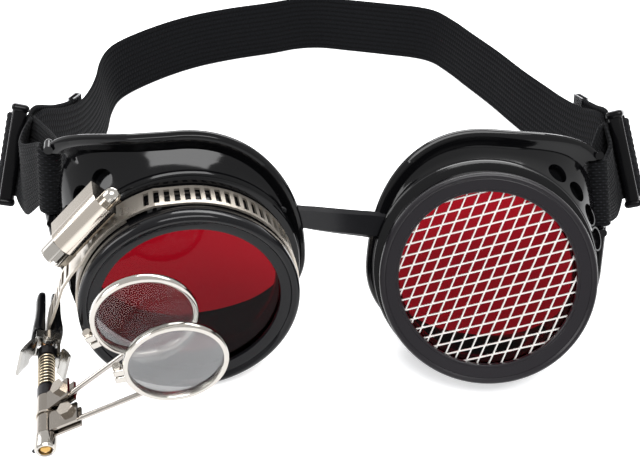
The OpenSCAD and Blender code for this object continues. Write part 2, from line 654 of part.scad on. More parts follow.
module clamp_band() {
    color("#c2c0ba") at_left() from_face(band_depth + band_w / 2) difference() {
        linear_extrude(band_w) bent_strip(band_line, band_t);
        for (a = [0 : slot_step : housing_angle - 24]) rotate([0, 0, a])
            translate([groove_r, -slot_w / 2, (band_w - slot_len) / 2]) cube([4, slot_w, slot_len]);
        for (p = [0 : 4]) {
            d = unit(tail_points[p + 1] - tail_points[p]);
            translate([tail_points[p][0], tail_points[p][1], (band_w - slot_len) / 2])
                rotate([0, 0, atan2(d[1], d[0])]) for (s = [1 : 2.8 : p < 3 ? 3.8 : 0])
                    translate([s, -2, 0]) cube([slot_w, 4, slot_len]);
        }
    }
}

// Screw housing frame: x along the worm to its tip, y out from the neck, z forward
module at_housing() at_left() from_face(band_depth) rotate([0, 0, housing_angle - 90])
    translate([0, worm_axis_r, 0]) children();

module arch_2d(r, half, foot) {
    circle(r = r, $fn = 48);
    polygon([[-r, 0], [-half, -foot], [half, -foot], [r, 0]]);
}

module clamp_housing() {
    foot = worm_axis_r - band_r;
    color("#cfcdc6") at_housing() difference() {
        rotate([0, 90, 0]) rotate([0, 0, 90]) translate([0, 0, -housing_len / 2])
            linear_extrude(housing_len) arch_2d(arch_r + housing_wall, foot_half + housing_wall, foot);
        rotate([0, 90, 0]) rotate([0, 0, 90]) translate([0, 0, -housing_len / 2 + 0.7])
            linear_extrude(housing_len - 1.4) arch_2d(arch_r, foot_half, foot + 1);
        // Way through for the band, and the two bearings of the worm
        translate([-housing_len, -foot - 1, -foot_half])
            cube([2 * housing_len, foot + 1 - worm_r + 0.5, 2 * foot_half]);
        rotate([0, 90, 0]) cylinder(r = 2.1 + turn_fit, h = housing_len);
        rotate([0, -90, 0]) cylinder(r = 2.5 + turn_fit, h = housing_len);
    }
}

module clamp_screw() {
    thread_half = housing_len / 2 - 1;
    pitch = 2.6;
    color("#d4d2cb") at_housing() rotate([0, 90, 0]) {
        rotate_extrude() polygon(concat(
            [[0, -thread_half]],
            [for (z = [-thread_half : pitch : thread_half - pitch])
                each [[worm_r - 0.9, z], [worm_r, z + 0.7], [worm_r, z + 1.2], [worm_r - 0.9, z + 1.9]]],
            [[worm_r - 0.9, thread_half], [0, thread_half]]));
        cylinder(r = 2.1, h = housing_len / 2 + 2);
        translate([0, 0, housing_len / 2 + 2]) sphere(r = 2.1);
        rotate([180, 0, 0]) {
            cylinder(r = 2.5, h = housing_len / 2 + 1);
            translate([0, 0, housing_len / 2 + 0.4]) difference() {
                union() {
                    cylinder(d = hex_d, h = 4.2, $fn = 6);
                    cylinder(d = hex_d - 0.9, h = 4.8);
                }
                translate([-hex_d, -0.6, 3.6]) cube([2 * hex_d, 1.2, 3]);
            }
        }
    }
}

// Clip, in the stem frame rolled to the tail: x across the bite, y up, z forward
bite = band_t / 2 + free_gap;
boot_wall = 0.6;
blade_x = bite + boot_wall + jaw_t / 2;
jaw_x = bite + 2.1;
jaw_face = jaw_x - jaw_t / 2;
ear_t = 0.5;
ear_r = jaw_face - 0.4;
pin_r = 0.8;
inner_ear = jaw_w / 2 + ear_t / 2;
outer_ear = inner_ear + ear_t + 0.1;
boot_front = 1.4;

// Blade from its end in the boot to where it spreads for the pin's ears
boot_back = boot_front + boot_len;
blade_line = [[blade_x, boot_front + 0.8], [blade_x, boot_back + 0.1],
              [jaw_x, boot_back + 0.1 + jaw_x - blade_x]];

// Jaw blade, widened handle and two ears
module jaw_half(line, handle, ear_y) {
    difference() {
        union() {
            rotate([90, 0, 0]) translate([0, 0, -jaw_w / 2]) linear_extrude(jaw_w) bent_strip(line, jaw_t);
            rotate([90, 0, 0]) translate([0, 0, -handle_w / 2]) linear_extrude(handle_w)
                bent_strip(handle, jaw_t);
            translate([jaw_face, -ear_y, jaw_len - ear_r]) cube([jaw_t, 2 * ear_y, 1.3 * ear_r]);
            for (s = [-1, 1]) translate([0, s * ear_y, 0]) rotate([90, 0, 0])
                translate([0, 0, -ear_t / 2]) linear_extrude(ear_t) {
                    translate([0, jaw_len]) circle(r = ear_r, $fn = 40);
                    translate([0, jaw_len - ear_r]) square([jaw_face + jaw_t, 1.3 * ear_r]);
                }
        }
        translate([0, 0, jaw_len]) rotate([90, 0, 0])
            cylinder(r = pin_r + turn_fit, h = 20, center = true, $fn = 32);
    }
}

module clip_jaw_fixed() {
    line = concat(blade_line, [[jaw_x, jaw_len + 0.6], [ferrule_r + jaw_t / 2, ferrule_z],
                               [ferrule_r + jaw_t / 2, ferrule_z + ferrule_len], [3.4, jaw_len + 5.4]]);
    handle = [[3.3, jaw_len + 5], [4.3, jaw_len + 6.2], [5, jaw_len + 7.6]];
    color("#c9c7c2") at_clip() jaw_half(line, handle, inner_ear);
}

module clip_jaw_moving() {
    line = concat(blade_line, [[jaw_x, jaw_len], [jaw_x + 0.8, jaw_len + 1.5], [4.4, jaw_len + 3]]);
    handle = [[4.2, jaw_len + 2.7], [5.7, jaw_len + 5], [6.7, jaw_len + 7]];
    color("#c9c7c2") at_clip() mirror([1, 0, 0]) jaw_half(line, handle, outer_ear);
}

// Rubber boot with a pocket for the jaw blade
module jaw_boot() {
    outer = blade_x + jaw_t / 2 + boot_wall;
    difference() {
        rotate([90, 0, 0]) translate([0, 0, -boot_h / 2]) linear_extrude(boot_h)
            polygon([[bite, boot_front + 0.5], [bite + 0.5, boot_front], [outer - 0.7, boot_front],
                     [outer, boot_front + 1.6], [outer, boot_back - 8], [outer + 0.5, boot_back - 2],
                     [outer + 0.5, boot_back], [bite, boot_back]]);
        translate([blade_x - jaw_t / 2 - turn_fit, -jaw_w / 2 - turn_fit, boot_front + 0.8 - turn_fit])
            cube([jaw_t + 2 * turn_fit, jaw_w + 2 * turn_fit, boot_len]);
    }
}
module jaw_boot_fixed() color("#101113") at_clip() jaw_boot();
module jaw_boot_moving() color("#101113") at_clip() mirror([1, 0, 0]) jaw_boot();

module clip_pin() {
    head = 0.7;
    span = outer_ear + ear_t / 2 + 0.1;
    color("#b8b6b0") at_clip() translate([0, 0, jaw_len]) rotate([90, 0, 0]) {
        cylinder(r = pin_r, h = 2 * span, center = true, $fn = 32);
        for (s = [0, 1]) mirror([0, 0, s]) translate([0, 0, span]) cylinder(r = 1.4, h = head, $fn = 32);
    }
}

// Closing spring, wound round the clip's pin
module clip_spring() {
    turns = 4;
    wire_d = 0.45;
    coil_r = pin_r + 0.2 + wire_d / 2;
    pitch = 0.92;
    pts = [for (k = [0 : turns * 10]) let (a = 36 * k)
        [coil_r * cos(a), pitch * (k / 10 - turns / 2), jaw_len + coil_r * sin(a)]];
    echo(least_gap_of_clip_spring = pitch - wire_d);
    color("#b9835a") at_clip() wire(pts, wire_d, 6);
}

module rod_ferrule() {
    color("#3a3a3d") at_stem() translate([0, 0, ferrule_z]) difference() {
        cylinder(r = ferrule_r, h = ferrule_len, $fn = 40);
        translate([0, 0, 0.6]) cylinder(r = rod_d / 2, h = ferrule_len, $fn = 40);
    }
}

module loupe_rod() {
    z0 = ferrule_z + 0.6;
    color("#c8a95c") at_stem() translate([0, 0, z0]) {
        cylinder(d = rod_d, h = stem_end - 0.5 - z0, $fn = 40);
        translate([0, 0, stem_end - 0.5 - z0]) cylinder(r1 = rod_d / 2, r2 = rod_d / 2 - 0.5, h = 0.5, $fn = 40);
    }
}

module friction_spring() {
    rise = (spring_len - spring_wire) / spring_turns;
    pts = [for (k = [0 : spring_turns * 12]) let (a = 30 * k)
        [spring_r * cos(a), spring_r * sin(a), spring_z + spring_wire / 2 + rise * k / 12]];
    echo(least_gap_of_friction_spring = rise - spring_wire);
    color("#cdbf9a") at_stem() wire(pts, spring_wire, 6);
}

module tube(r, bore, h) difference() {
    cylinder(r = r, h = h, $fn = 40);
    translate([0, 0, -1]) cylinder(r = bore, h = h + 2, $fn = 40);
}

module spring_collar() color("#3a3a3d") at_stem() translate([0, 0, collar_z]) tube(collar_r, bracket_bore_r, collar_len);
module stem_washer() color("#b8b6b0") at_stem() translate([0, 0, washer_z]) tube(nut_r, bracket_bore_r, washer_t);

module end_nut() {
    color("#cfcdc8") at_stem() translate([0, 0, nut_z]) difference() {
        tube(nut_r, rod_d / 2, nut_len);
        translate([0, 0, nut_len / 2]) rotate([0, 0, 225]) rotate([0, 90, 0]) cylinder(r = 0.5, h = 10, $fn = 24);
    }
}
module nut_pin() color("#9a9892") at_stem() translate([0, 0, nut_z + nut_len / 2]) rotate([0, 0, 225])
    rotate([0, 90, 0]) translate([0, 0, rod_d / 2 + 0.05]) cylinder(r = 0.5, h = 3.4, $fn = 24);

// Loupe, in a frame at the rod: x towards the rim's middle, z forward
wire_angle_rear = atan2(-rim_r * sin(arm_drop), reach_rear - rim_r * cos(arm_drop));
wire_angle_front = atan2(-rim_r * sin(arm_drop), reach_front - rim_r * cos(arm_drop));
module at_loupe(z, swing) at_stem() translate([0, 0, z]) rotate([0, 0, swing]) children();

module bracket(wire_angle) {
    rotate([0, 0, wire_angle]) difference() {
        linear_extrude(bracket_h) difference() {
            union() {
                circle(r = bracket_bore_r + bracket_wall, $fn = 40);
                for (s = [-1, 1]) translate([0, s > 0 ? arm_d / 2 + 0.05 : -arm_d / 2 - 0.05 - bracket_wall])
                    square([bracket_leaf, bracket_wall]);
            }
            circle(r = bracket_bore_r, $fn = 40);
            translate([0, -arm_d / 2 - 0.05]) square([bracket_leaf + 1, arm_d + 0.1]);
        }
        translate([6, 0, bracket_h / 2 + screw_offset_z]) rotate([90, 0, 0])
            cylinder(r = screw_r + turn_fit, h = 10, center = true, $fn = 24);
    }
}

module bracket_screw(wire_angle) {
    out = arm_d / 2 + 0.05 + bracket_wall;
    rotate([0, 0, wire_angle]) translate([6, 0, bracket_h / 2 + screw_offset_z]) rotate([90, 0, 0]) {
        cylinder(r = screw_r, h = 2 * out + 1.2, center = true, $fn = 24);
        translate([0, 0, out]) difference() {
            cylinder(r = 1.7, h = 1.4, $fn = 32);
            translate([-3, -0.25, 0.9]) cube([6, 0.5, 1]);
        }
        translate([0, 0, -out - 1.2]) cylinder(r = 1.9, h = 1.2, $fn = 6);
    }
}

module loupe_arm(wire_angle, reach) {
    mid_z = bracket_h / 2 + arm_offset_z;
    joint = [reach - rim_r * cos(arm_drop), -rim_r * sin(arm_drop)];
    length = norm(joint) + 0.4;
    translate([0, 0, mid_z]) rotate([0, 0, wire_angle]) translate([2.4, 0, 0]) rotate([0, 90, 0])
        cylinder(d = arm_d, h = length - 2.4 - 0.3, $fn = 24);
}

module at_rim(reach) translate([reach, 0, bracket_h / 2 + arm_offset_z]) children();

module loupe_rim(reach) {
    half = rim_t / 2;
    at_rim(reach) {
        difference() {
            union() {
                rotate_extrude($fn = 72) polygon([[rim_inner_r, -half + 0.3], [rim_inner_r + 0.3, -half],
                    [rim_r - 0.5, -half], [rim_r, -half + 0.5], [rim_r, half - 0.5], [rim_r - 0.5, half],
                    [rim_inner_r + 0.3, half], [rim_inner_r, half - 0.3]]);
                rotate([0, 0, 180 + barrel_turn]) translate([rim_r - 0.4, -2, -half]) cube([2.4, 4, rim_t]);
            }
            // Lens groove, split and screw hole
            rotate_extrude($fn = 72) polygon([[0, -0.6], [loupe_lens_r + 0.05, -0.6], [loupe_lens_r + 0.05, 0.6], [0, 0.6]]);
            rotate([0, 0, 180 + barrel_turn]) {
                translate([rim_inner_r - 1, -0.2, -rim_t]) cube([6, 0.4, 2 * rim_t]);
                translate([rim_r + 1, 0, 0]) rotate([90, 0, 0]) cylinder(r = 0.5 + turn_fit, h = 10, center = true, $fn = 24);
            }
            rotate([0, 0, 180 + arm_drop]) translate([rim_r - 0.35, 0, 0]) rotate([0, 90, 0])
                cylinder(d = 2 * arm_d, h = 3, $fn = 24);
        }
    }
}

module rim_screw(reach) {
    at_rim(reach) rotate([0, 0, 180 + barrel_turn]) translate([rim_r + 1, 0, 0]) rotate([90, 0, 0]) {
        cylinder(r = 0.5, h = 4.4, center = true, $fn = 24);
        translate([0, 0, 2]) cylinder(r = 1, h = 0.9, $fn = 24);
    }
}

// Biconvex lens with a bevelled edge that sits in the rim's groove
module loupe_lens(reach) {
    half = loupe_lens_t / 2;
    at_rim(reach) rotate_extrude($fn = 72) polygon([[0, -half], [0.55 * loupe_lens_r, -half + 0.14],
        [rim_inner_r - 0.1, -0.52], [loupe_lens_r, -0.5], [loupe_lens_r, 0.5], [rim_inner_r - 0.1, 0.52],
        [0.55 * loupe_lens_r, half - 0.14], [0, half]]);
}

module rear() at_loupe(bracket_rear_z, swing_rear) children();
module front() at_loupe(bracket_front_z, swing_front) children();
module bracket_rear() color("#bdbab3") rear() bracket(wire_angle_rear);
module bracket_front() color("#bdbab3") front() bracket(wire_angle_front);
module bracket_screw_rear() color("#a9a69f") rear() bracket_screw(wire_angle_rear);
module bracket_screw_front() color("#a9a69f") front() bracket_screw(wire_angle_front);
module loupe_arm_rear() color("#b3b0a9") rear() loupe_arm(wire_angle_rear, reach_rear);
module loupe_arm_front() color("#b3b0a9") front() loupe_arm(wire_angle_front, reach_front);
module loupe_rim_rear() color("#cfcdc8") rear() loupe_rim(reach_rear);
module loupe_rim_front() color("#cfcdc8") front() loupe_rim(reach_front);
module rim_screw_rear() color("#a9a69f") rear() rim_screw(reach_rear);
module rim_screw_front() color("#a9a69f") front() rim_screw(reach_front);
module loupe_lens_rear() color("#c9cdd4", 0.5) rear() loupe_lens(reach_rear);
module loupe_lens_front() color("#c9cdd4", 0.5) front() loupe_lens(reach_front);

module centred() translate(-box_middle) children();

centred() eye_cup_left();
centred() eye_cup_right();
centred() lens_ring_left();
centred() lens_ring_right();
centred() eye_lens_left();
centred() eye_lens_right();
centred() lens_gasket_left();
centred() lens_gasket_right();
centred() mesh_screen();
centred() nose_bridge();
centred() elastic_strap();
centred() strap_slider_left();
centred() strap_slider_right();
centred() strap_tip_left();
centred() strap_tip_right();
centred() clamp_band();
centred() clamp_housing();
centred() clamp_screw();
centred() clip_jaw_fixed();
centred() clip_jaw_moving();
centred() jaw_boot_fixed();
centred() jaw_boot_moving();
centred() clip_pin();
centred() clip_spring();
centred() rod_ferrule();
centred() loupe_rod();
centred() friction_spring();
centred() spring_collar();
centred() stem_washer();
centred() end_nut();
centred() nut_pin();
centred() bracket_rear();
centred() bracket_front();
centred() bracket_screw_rear();
centred() bracket_screw_front();
centred() loupe_arm_rear();
centred() loupe_arm_front();
centred() loupe_rim_rear();
centred() loupe_rim_front();
centred() rim_screw_rear();
centred() rim_screw_front();
centred() loupe_lens_rear();
centred() loupe_lens_front();
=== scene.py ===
import math

import bpy
from mathutils import Matrix, Vector


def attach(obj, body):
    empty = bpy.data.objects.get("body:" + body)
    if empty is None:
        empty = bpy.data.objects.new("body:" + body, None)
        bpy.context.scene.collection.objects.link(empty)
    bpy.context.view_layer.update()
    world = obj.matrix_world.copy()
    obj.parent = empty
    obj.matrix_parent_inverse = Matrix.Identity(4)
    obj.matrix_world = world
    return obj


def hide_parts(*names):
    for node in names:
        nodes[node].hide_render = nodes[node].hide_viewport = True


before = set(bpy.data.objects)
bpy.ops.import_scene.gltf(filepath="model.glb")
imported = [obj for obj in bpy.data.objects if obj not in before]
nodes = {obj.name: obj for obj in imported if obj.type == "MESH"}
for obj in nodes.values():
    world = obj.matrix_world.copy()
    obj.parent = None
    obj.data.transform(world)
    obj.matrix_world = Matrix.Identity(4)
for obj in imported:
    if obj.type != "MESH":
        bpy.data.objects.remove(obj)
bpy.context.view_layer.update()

# Lengths in mm and turns in degrees, as in the part's source, where the object isn't centred yet
BOX_MIDDLE = Vector((-3.65, 78.53, 0))
LEFT_C, LEFT_TURN, LEFT_RISE = Vector((-38.8, -4.7, 30.279)), 12, 4
RIGHT_C, RIGHT_TURN, RIGHT_RISE = Vector((38.8, 3.6, 32.434)), -8, 31
STEM_TIP, STEM_TURN, CLIP_ROLL = Vector((-81.384, 8.576, 21.999)), 13.5, 20
WEBBING_W, WEBBING_T = 25, 1.2
UP = Vector((0, 0, 1))


# Places

def turn(angle, axis):
    return Matrix.Rotation(math.radians(angle), 4, axis)


TO_METRES = Matrix.Scale(0.001, 4) @ Matrix.Translation(-BOX_MIDDLE)
AT_LEFT = Matrix.Translation(LEFT_C) @ turn(LEFT_TURN, "Z") @ turn(90 - LEFT_RISE, "X")
AT_RIGHT = Matrix.Translation(RIGHT_C) @ turn(RIGHT_TURN, "Z") @ turn(90 - RIGHT_RISE, "X")
AT_STEM = Matrix.Translation(STEM_TIP) @ turn(STEM_TURN, "Z") @ turn(90, "X")
AT_CLIP = AT_STEM @ turn(-CLIP_ROLL, "Z")
MIRROR_X = Matrix.Diagonal((-1, 1, 1, 1))


def mm(x, y, z):
    """A point of the part's source, in metres."""
    return TO_METRES @ Vector((x, y, z))


def placed(at, u, v, depth):
    return at @ Vector((u, v, -depth))


# Camera, light, floor

CAMERA_PLACE, CAMERA_DOWN = (-5.65, -162.87, 185.55), 39.14
FOCAL_PX, IMAGE_W_PX, SENSOR_W = 850, 640, 36
SKY_COLOUR, SKY_STRENGTH = (0.93, 0.95, 1, 1), 0.62
FLOOR_COLOUR, FLOOR_LIFT = (0.82, 0.82, 0.82, 1), 0.52


def look_through():
    """Camera that was fitted to the photograph."""
    cam = bpy.data.cameras.new("camera")
    cam.sensor_width = SENSOR_W
    cam.lens = FOCAL_PX / IMAGE_W_PX * SENSOR_W
    cam.clip_start = 0.01
    obj = bpy.data.objects.new("camera", cam)
    obj.location = mm(*CAMERA_PLACE)
    obj.rotation_euler = (math.radians(90 - CAMERA_DOWN), 0, 0)
    bpy.context.scene.collection.objects.link(obj)
    bpy.context.scene.camera = obj


def area_light(name, place, target, size, power, shape_y=None):
    light = bpy.data.lights.new(name, "AREA")
    light.energy = power
    light.size = size
    if shape_y:
        light.shape = "RECTANGLE"
        light.size_y = shape_y
    obj = bpy.data.objects.new(name, light)
    obj.location = place
    aim = Vector(target) - Vector(place)
    obj.rotation_euler = aim.to_track_quat("-Z", "Y").to_euler()
    bpy.context.scene.collection.objects.link(obj)


def seen_rays(tree):
    """1 where the camera, a mirror or a glass looks, 0 for the light that falls on things."""
    path = tree.nodes.new("ShaderNodeLightPath")
    seen = path.outputs["Is Camera Ray"]
    for ray in ("Is Glossy Ray", "Is Transmission Ray"):
        seen = math_node(tree, "MAXIMUM", seen, path.outputs[ray])
    return seen


def studio():
    scene = bpy.context.scene
    scene.view_settings.view_transform = "Standard"
    world = bpy.data.worlds.new("studio")
    scene.world = world
    world.use_nodes = True
    tree = world.node_tree
    tree.nodes.clear()
    out = tree.nodes.new("ShaderNodeOutputWorld")
    soft = tree.nodes.new("ShaderNodeBackground")
    soft.inputs["Color"].default_value = SKY_COLOUR
    soft.inputs["Strength"].default_value = SKY_STRENGTH
    white = tree.nodes.new("ShaderNodeBackground")
    white.inputs["Color"].default_value = (1, 1, 1, 1)
    mix = tree.nodes.new("ShaderNodeMixShader")
    tree.links.new(seen_rays(tree), mix.inputs[0])
    tree.links.new(soft.outputs[0], mix.inputs[1])
    tree.links.new(white.outputs[0], mix.inputs[2])
    tree.links.new(mix.outputs[0], out.inputs[0])

    bpy.ops.mesh.primitive_plane_add(size=4, location=(0, 0, 0))
    floor = bpy.context.object
    floor.name = "floor"
    mat, tree, bsdf = principled("pale_floor")
    bsdf.inputs["Base Color"].default_value = FLOOR_COLOUR
    bsdf.inputs["Roughness"].default_value = 0.9
    bsdf.inputs["Specular IOR Level"].default_value = 0.1
    lift = tree.nodes.new("ShaderNodeEmission")
    lift.inputs["Color"].default_value = (1, 1, 1, 1)
    level = math_node(tree, "MULTIPLY", seen_rays(tree), FLOOR_LIFT)
    tree.links.new(level, lift.inputs["Strength"])
    both = tree.nodes.new("ShaderNodeAddShader")
    tree.links.new(bsdf.outputs[0], both.inputs[0])
    tree.links.new(lift.outputs[0], both.inputs[1])
    tree.links.new(both.outputs[0], tree.nodes["Material Output"].inputs[0])
    floor.data.materials.append(mat)

    # A wide box above and in front, a softer one from the left, a strip behind for rim light
    area_light("key_box", (0.10, -0.35, 0.75), (0, 0, 0.02), 0.6, 9, 0.4)
    area_light("left_box", (-0.7, 0.0, 0.45), (-0.05, -0.05, 0.03), 0.4, 4)
    area_light("rear_strip", (0.1, 0.75, 0.5), (0, 0, 0.03), 0.8, 5, 0.25)


# Materials

def new_group(name, inputs, outputs):
    group = bpy.data.node_groups.new(name, "ShaderNodeTree")
    for label, kind, value in inputs:
        socket = group.interface.new_socket(name=label, in_out="INPUT", socket_type=kind)
        socket.default_value = value
    for label, kind in outputs:
        group.interface.new_socket(name=label, in_out="OUTPUT", socket_type=kind)
    return group, group.nodes.new("NodeGroupInput"), group.nodes.new("NodeGroupOutput")


def math_node(tree, operation, a, b=None, clamp=False):
    node = tree.nodes.new("ShaderNodeMath")
    node.operation = operation
    node.use_clamp = clamp
    for i, value in enumerate((a, b)):
        if value is None:
            continue
        if isinstance(value, (int, float)):
            node.inputs[i].default_value = value
        else:
            tree.links.new(value, node.inputs[i])
    return node.outputs[0]


def noise(tree, vector, scale, detail, rough=0.55):
    node = tree.nodes.new("ShaderNodeTexNoise")
    node.inputs["Detail"].default_value = detail
    node.inputs["Roughness"].default_value = rough
    if isinstance(scale, (int, float)):
        node.inputs["Scale"].default_value = scale
    else:
        tree.links.new(scale, node.inputs["Scale"])
    tree.links.new(vector, node.inputs["Vector"])
    return node.outputs["Fac"]


def ramp(tree, value, low, high, to_low=0.0, to_high=1.0):
    node = tree.nodes.new("ShaderNodeMapRange")
    node.inputs["From Min"].default_value = low
    node.inputs["From Max"].default_value = high
    node.inputs["To Min"].default_value = to_low
    node.inputs["To Max"].default_value = to_high
    tree.links.new(value, node.inputs["Value"])
    return node.outputs["Result"]


def mixed_colour(tree, factor, first, second):
    """Mix of two colours, each a fixed one or a socket."""
    node = tree.nodes.new("ShaderNodeMix")
    node.data_type = "RGBA"
    tree.links.new(factor, node.inputs["Factor"])
    for i, colour in ((6, first), (7, second)):
        if isinstance(colour, tuple):
            node.inputs[i].default_value = colour
        else:
            tree.links.new(colour, node.inputs[i])
    return node.outputs[2]


def make_scuff_group():
    """Colour tint, roughness and fine height of a handled surface."""
    group, gin, gout = new_group(
        "handled_surface",
        [("Grain", "NodeSocketFloat", 400.0), ("Roughness", "NodeSocketFloat", 0.3),
         ("Scuff", "NodeSocketFloat", 0.1), ("Colour", "NodeSocketColor", (0.5, 0.5, 0.5, 1)),
         ("Worn Colour", "NodeSocketColor", (0.6, 0.6, 0.6, 1))],
        [("Colour", "NodeSocketColor"), ("Roughness", "NodeSocketFloat"),
         ("Height", "NodeSocketFloat")])
    coords = group.nodes.new("ShaderNodeTexCoord")
    broad = noise(group, coords.outputs["Object"], 60, 4)
    fine = noise(group, coords.outputs["Object"], gin.outputs["Grain"], 5, 0.65)
    stretch = group.nodes.new("ShaderNodeMapping")
    stretch.inputs["Scale"].default_value = (1, 6, 2)
    stretch.inputs["Rotation"].default_value = (0.4, 0.7, 0.2)
    group.links.new(coords.outputs["Object"], stretch.inputs["Vector"])
    scratch = noise(group, stretch.outputs["Vector"], 700, 2, 0.8)
    mask = ramp(group, broad, 0.42, 0.68)
    lines = ramp(group, scratch, 0.6, 0.72)
    worn = math_node(group, "MULTIPLY", mask, lines)
    worn = math_node(group, "MULTIPLY", worn, gin.outputs["Scuff"], True)
    colour = mixed_colour(group, worn, gin.outputs["Colour"], gin.outputs["Worn Colour"])
    group.links.new(colour, gout.inputs["Colour"])
    spread = math_node(group, "SUBTRACT", broad, 0.5)
    spread = math_node(group, "MULTIPLY", spread, gin.outputs["Scuff"])
    rough = math_node(group, "ADD", gin.outputs["Roughness"], spread)
    rough = math_node(group, "ADD", rough, math_node(group, "MULTIPLY", worn, 0.25), True)
    group.links.new(rough, gout.inputs["Roughness"])
    group.links.new(fine, gout.inputs["Height"])
    return group


def make_webbing_group():
    """Knit of the elastic: lengthwise ribs, cross picks, bright dots and a painted sheen on the
    rib crests, from its UV in mm.
    """
    group, gin, gout = new_group(
        "elastic_knit",
        [("Ribs", "NodeSocketFloat", 0.5), ("Picks", "NodeSocketFloat", 0.8)],
        [("Height", "NodeSocketFloat"), ("Painted Sheen", "NodeSocketFloat"),
         ("Dots", "NodeSocketFloat")])
    uv = group.nodes.new("ShaderNodeUVMap")
    uv.uv_map = "webbing"
    split = group.nodes.new("ShaderNodeSeparateXYZ")
    group.links.new(uv.outputs[0], split.inputs[0])
    across = math_node(group, "MULTIPLY", split.outputs["X"], gin.outputs["Ribs"])
    along = math_node(group, "MULTIPLY", split.outputs["Y"], gin.outputs["Picks"])
    rib = math_node(group, "SINE", math_node(group, "MULTIPLY", across, math.pi))
    rib = math_node(group, "ABSOLUTE", rib)
    # Each column of picks sits half a pick past its neighbour
    offset = math_node(group, "MULTIPLY", math_node(group, "FLOOR", across), 0.5)
    pick = math_node(group, "ADD", along, offset)
    pick = math_node(group, "SINE", math_node(group, "MULTIPLY", pick, 2 * math.pi))
    pick = math_node(group, "ADD", math_node(group, "MULTIPLY", pick, 0.5), 0.5)
    coords = group.nodes.new("ShaderNodeTexCoord")
    fuzz = noise(group, coords.outputs["Object"], 2600, 2, 0.7)
    height = math_node(group, "MULTIPLY", rib, 0.55)
    height = math_node(group, "ADD", height, math_node(group, "MULTIPLY", pick, 0.3))
    height = math_node(group, "ADD", height, math_node(group, "MULTIPLY", fuzz, 0.2))
    group.links.new(height, gout.inputs["Height"])
    # Painted sheen: the colour is made lighter on the ribs' crests, varied by noise, for the
    # light that they catch
    group.links.new(math_node(group, "MULTIPLY", rib, fuzz, True), gout.inputs["Painted Sheen"])
    crests = ramp(group, rib, 0.75, 0.95)
    dots = math_node(group, "MULTIPLY", ramp(group, pick, 0.72, 0.95), crests)
    group.links.new(dots, gout.inputs["Dots"])
    return group


SCUFF = make_scuff_group()
KNIT = make_webbing_group()


def rgb(code):
    """Linear colour of a display hex code."""
    out = []
    for i in (0, 2, 4):
        c = int(code[i:i + 2], 16) / 255
        out.append(c / 12.92 if c <= 0.04045 else ((c + 0.055) / 1.055) ** 2.4)
    return (*out, 1)


def principled(name):
    mat = bpy.data.materials.new(name)
    mat.use_nodes = True
    return mat, mat.node_tree, mat.node_tree.nodes["Principled BSDF"]


def use_group(tree, group, values):
    node = tree.nodes.new("ShaderNodeGroup")
    node.node_tree = group
    for label, value in values.items():
        node.inputs[label].default_value = value
    return node


def add_bump(tree, bsdf, height, strength, distance):
    node = tree.nodes.new("ShaderNodeBump")
    node.inputs["Strength"].default_value = strength
    node.inputs["Distance"].default_value = distance
    tree.links.new(height, node.inputs["Height"])
    tree.links.new(node.outputs["Normal"], bsdf.inputs["Normal"])


def surface(name, colour, worn, roughness, scuff, grain, relief, metallic=0.0, specular=0.5):
    """Moulded, painted or plated finish with a little wear."""
    mat, tree, bsdf = principled(name)
    bsdf.inputs["Metallic"].default_value = metallic
    bsdf.inputs["Specular IOR Level"].default_value = specular
    group = use_group(tree, SCUFF, {
        "Grain": grain, "Roughness": roughness, "Scuff": scuff,
        "Colour": rgb(colour), "Worn Colour": rgb(worn)})
    tree.links.new(group.outputs["Colour"], bsdf.inputs["Base Color"])
    tree.links.new(group.outputs["Roughness"], bsdf.inputs["Roughness"])
    add_bump(tree, bsdf, group.outputs["Height"], relief, 0.0001)
    return mat


# bright is the colour of the sheen painted on the rib crests
def webbing_material(name, ribs, picks, dot_level, bright="151619"):
    mat, tree, bsdf = principled(name)
    group = use_group(tree, KNIT, {"Ribs": ribs, "Picks": picks})
    # Painted sheen: the cloth's colour goes from near black to the bright colour on the rib
    # crests
    cloth_with_painted_sheen = mixed_colour(tree, group.outputs["Painted Sheen"], rgb("070708"), rgb(bright))
    level = math_node(tree, "MULTIPLY", group.outputs["Dots"], dot_level)
    colour = mixed_colour(tree, level, cloth_with_painted_sheen, rgb("34353a"))
    tree.links.new(colour, bsdf.inputs["Base Color"])
    bsdf.inputs["Roughness"].default_value = 0.78
    bsdf.inputs["Sheen Weight"].default_value = 0.01
    bsdf.inputs["Sheen Roughness"].default_value = 0.4
    bsdf.inputs["Specular IOR Level"].default_value = 0.07
    add_bump(tree, bsdf, group.outputs["Height"], 0.9, 0.0004)
    return mat


SMUDGE_HAZE = 0.008


def glass(name, colour, roughness, alpha, ior):
    """Tinted or clear glass with faint smudges."""
    mat, tree, bsdf = principled(name)
    bsdf.inputs["Base Color"].default_value = rgb(colour)
    bsdf.inputs["IOR"].default_value = ior
    bsdf.inputs["Transmission Weight"].default_value = 1
    bsdf.inputs["Alpha"].default_value = alpha
    coords = tree.nodes.new("ShaderNodeTexCoord")
    smudge = noise(tree, coords.outputs["Object"], 90, 4)
    haze = ramp(tree, smudge, 0.45, 0.75, roughness, roughness + SMUDGE_HAZE)
    tree.links.new(haze, bsdf.inputs["Roughness"])
    return mat


# Name, colour, worn colour, roughness, scuff, grain, relief, and how much a black reflects
BLACKS = {
    "cup": ("moulded_black", "070708", "1e1f22", 0.1, 0.12, 900, 0.04, 0.18),
    "ring_left": ("ring_black_gloss", "0d0d0f", "242528", 0.11, 0.1, 1200, 0.04, 0.16),
    "ring_right": ("ring_black_warm", "171518", "322f34", 0.3, 0.12, 1200, 0.08, 0.18),
    "gasket": ("gasket_black", "0b0b0d", "1c1c1e", 0.6, 0.1, 1500, 0.1, 0.15),
    "bridge": ("bridge_rubber", "151517", "2a2b2e", 0.45, 0.15, 1400, 0.12, 0.22),
    "slider": ("slider_black", "060607", "1c1d20", 0.18, 0.1, 900, 0.05, 0.1),
    "boot": ("boot_rubber", "08080a", "1e1e21", 0.14, 0.1, 900, 0.04, 0.25),
}
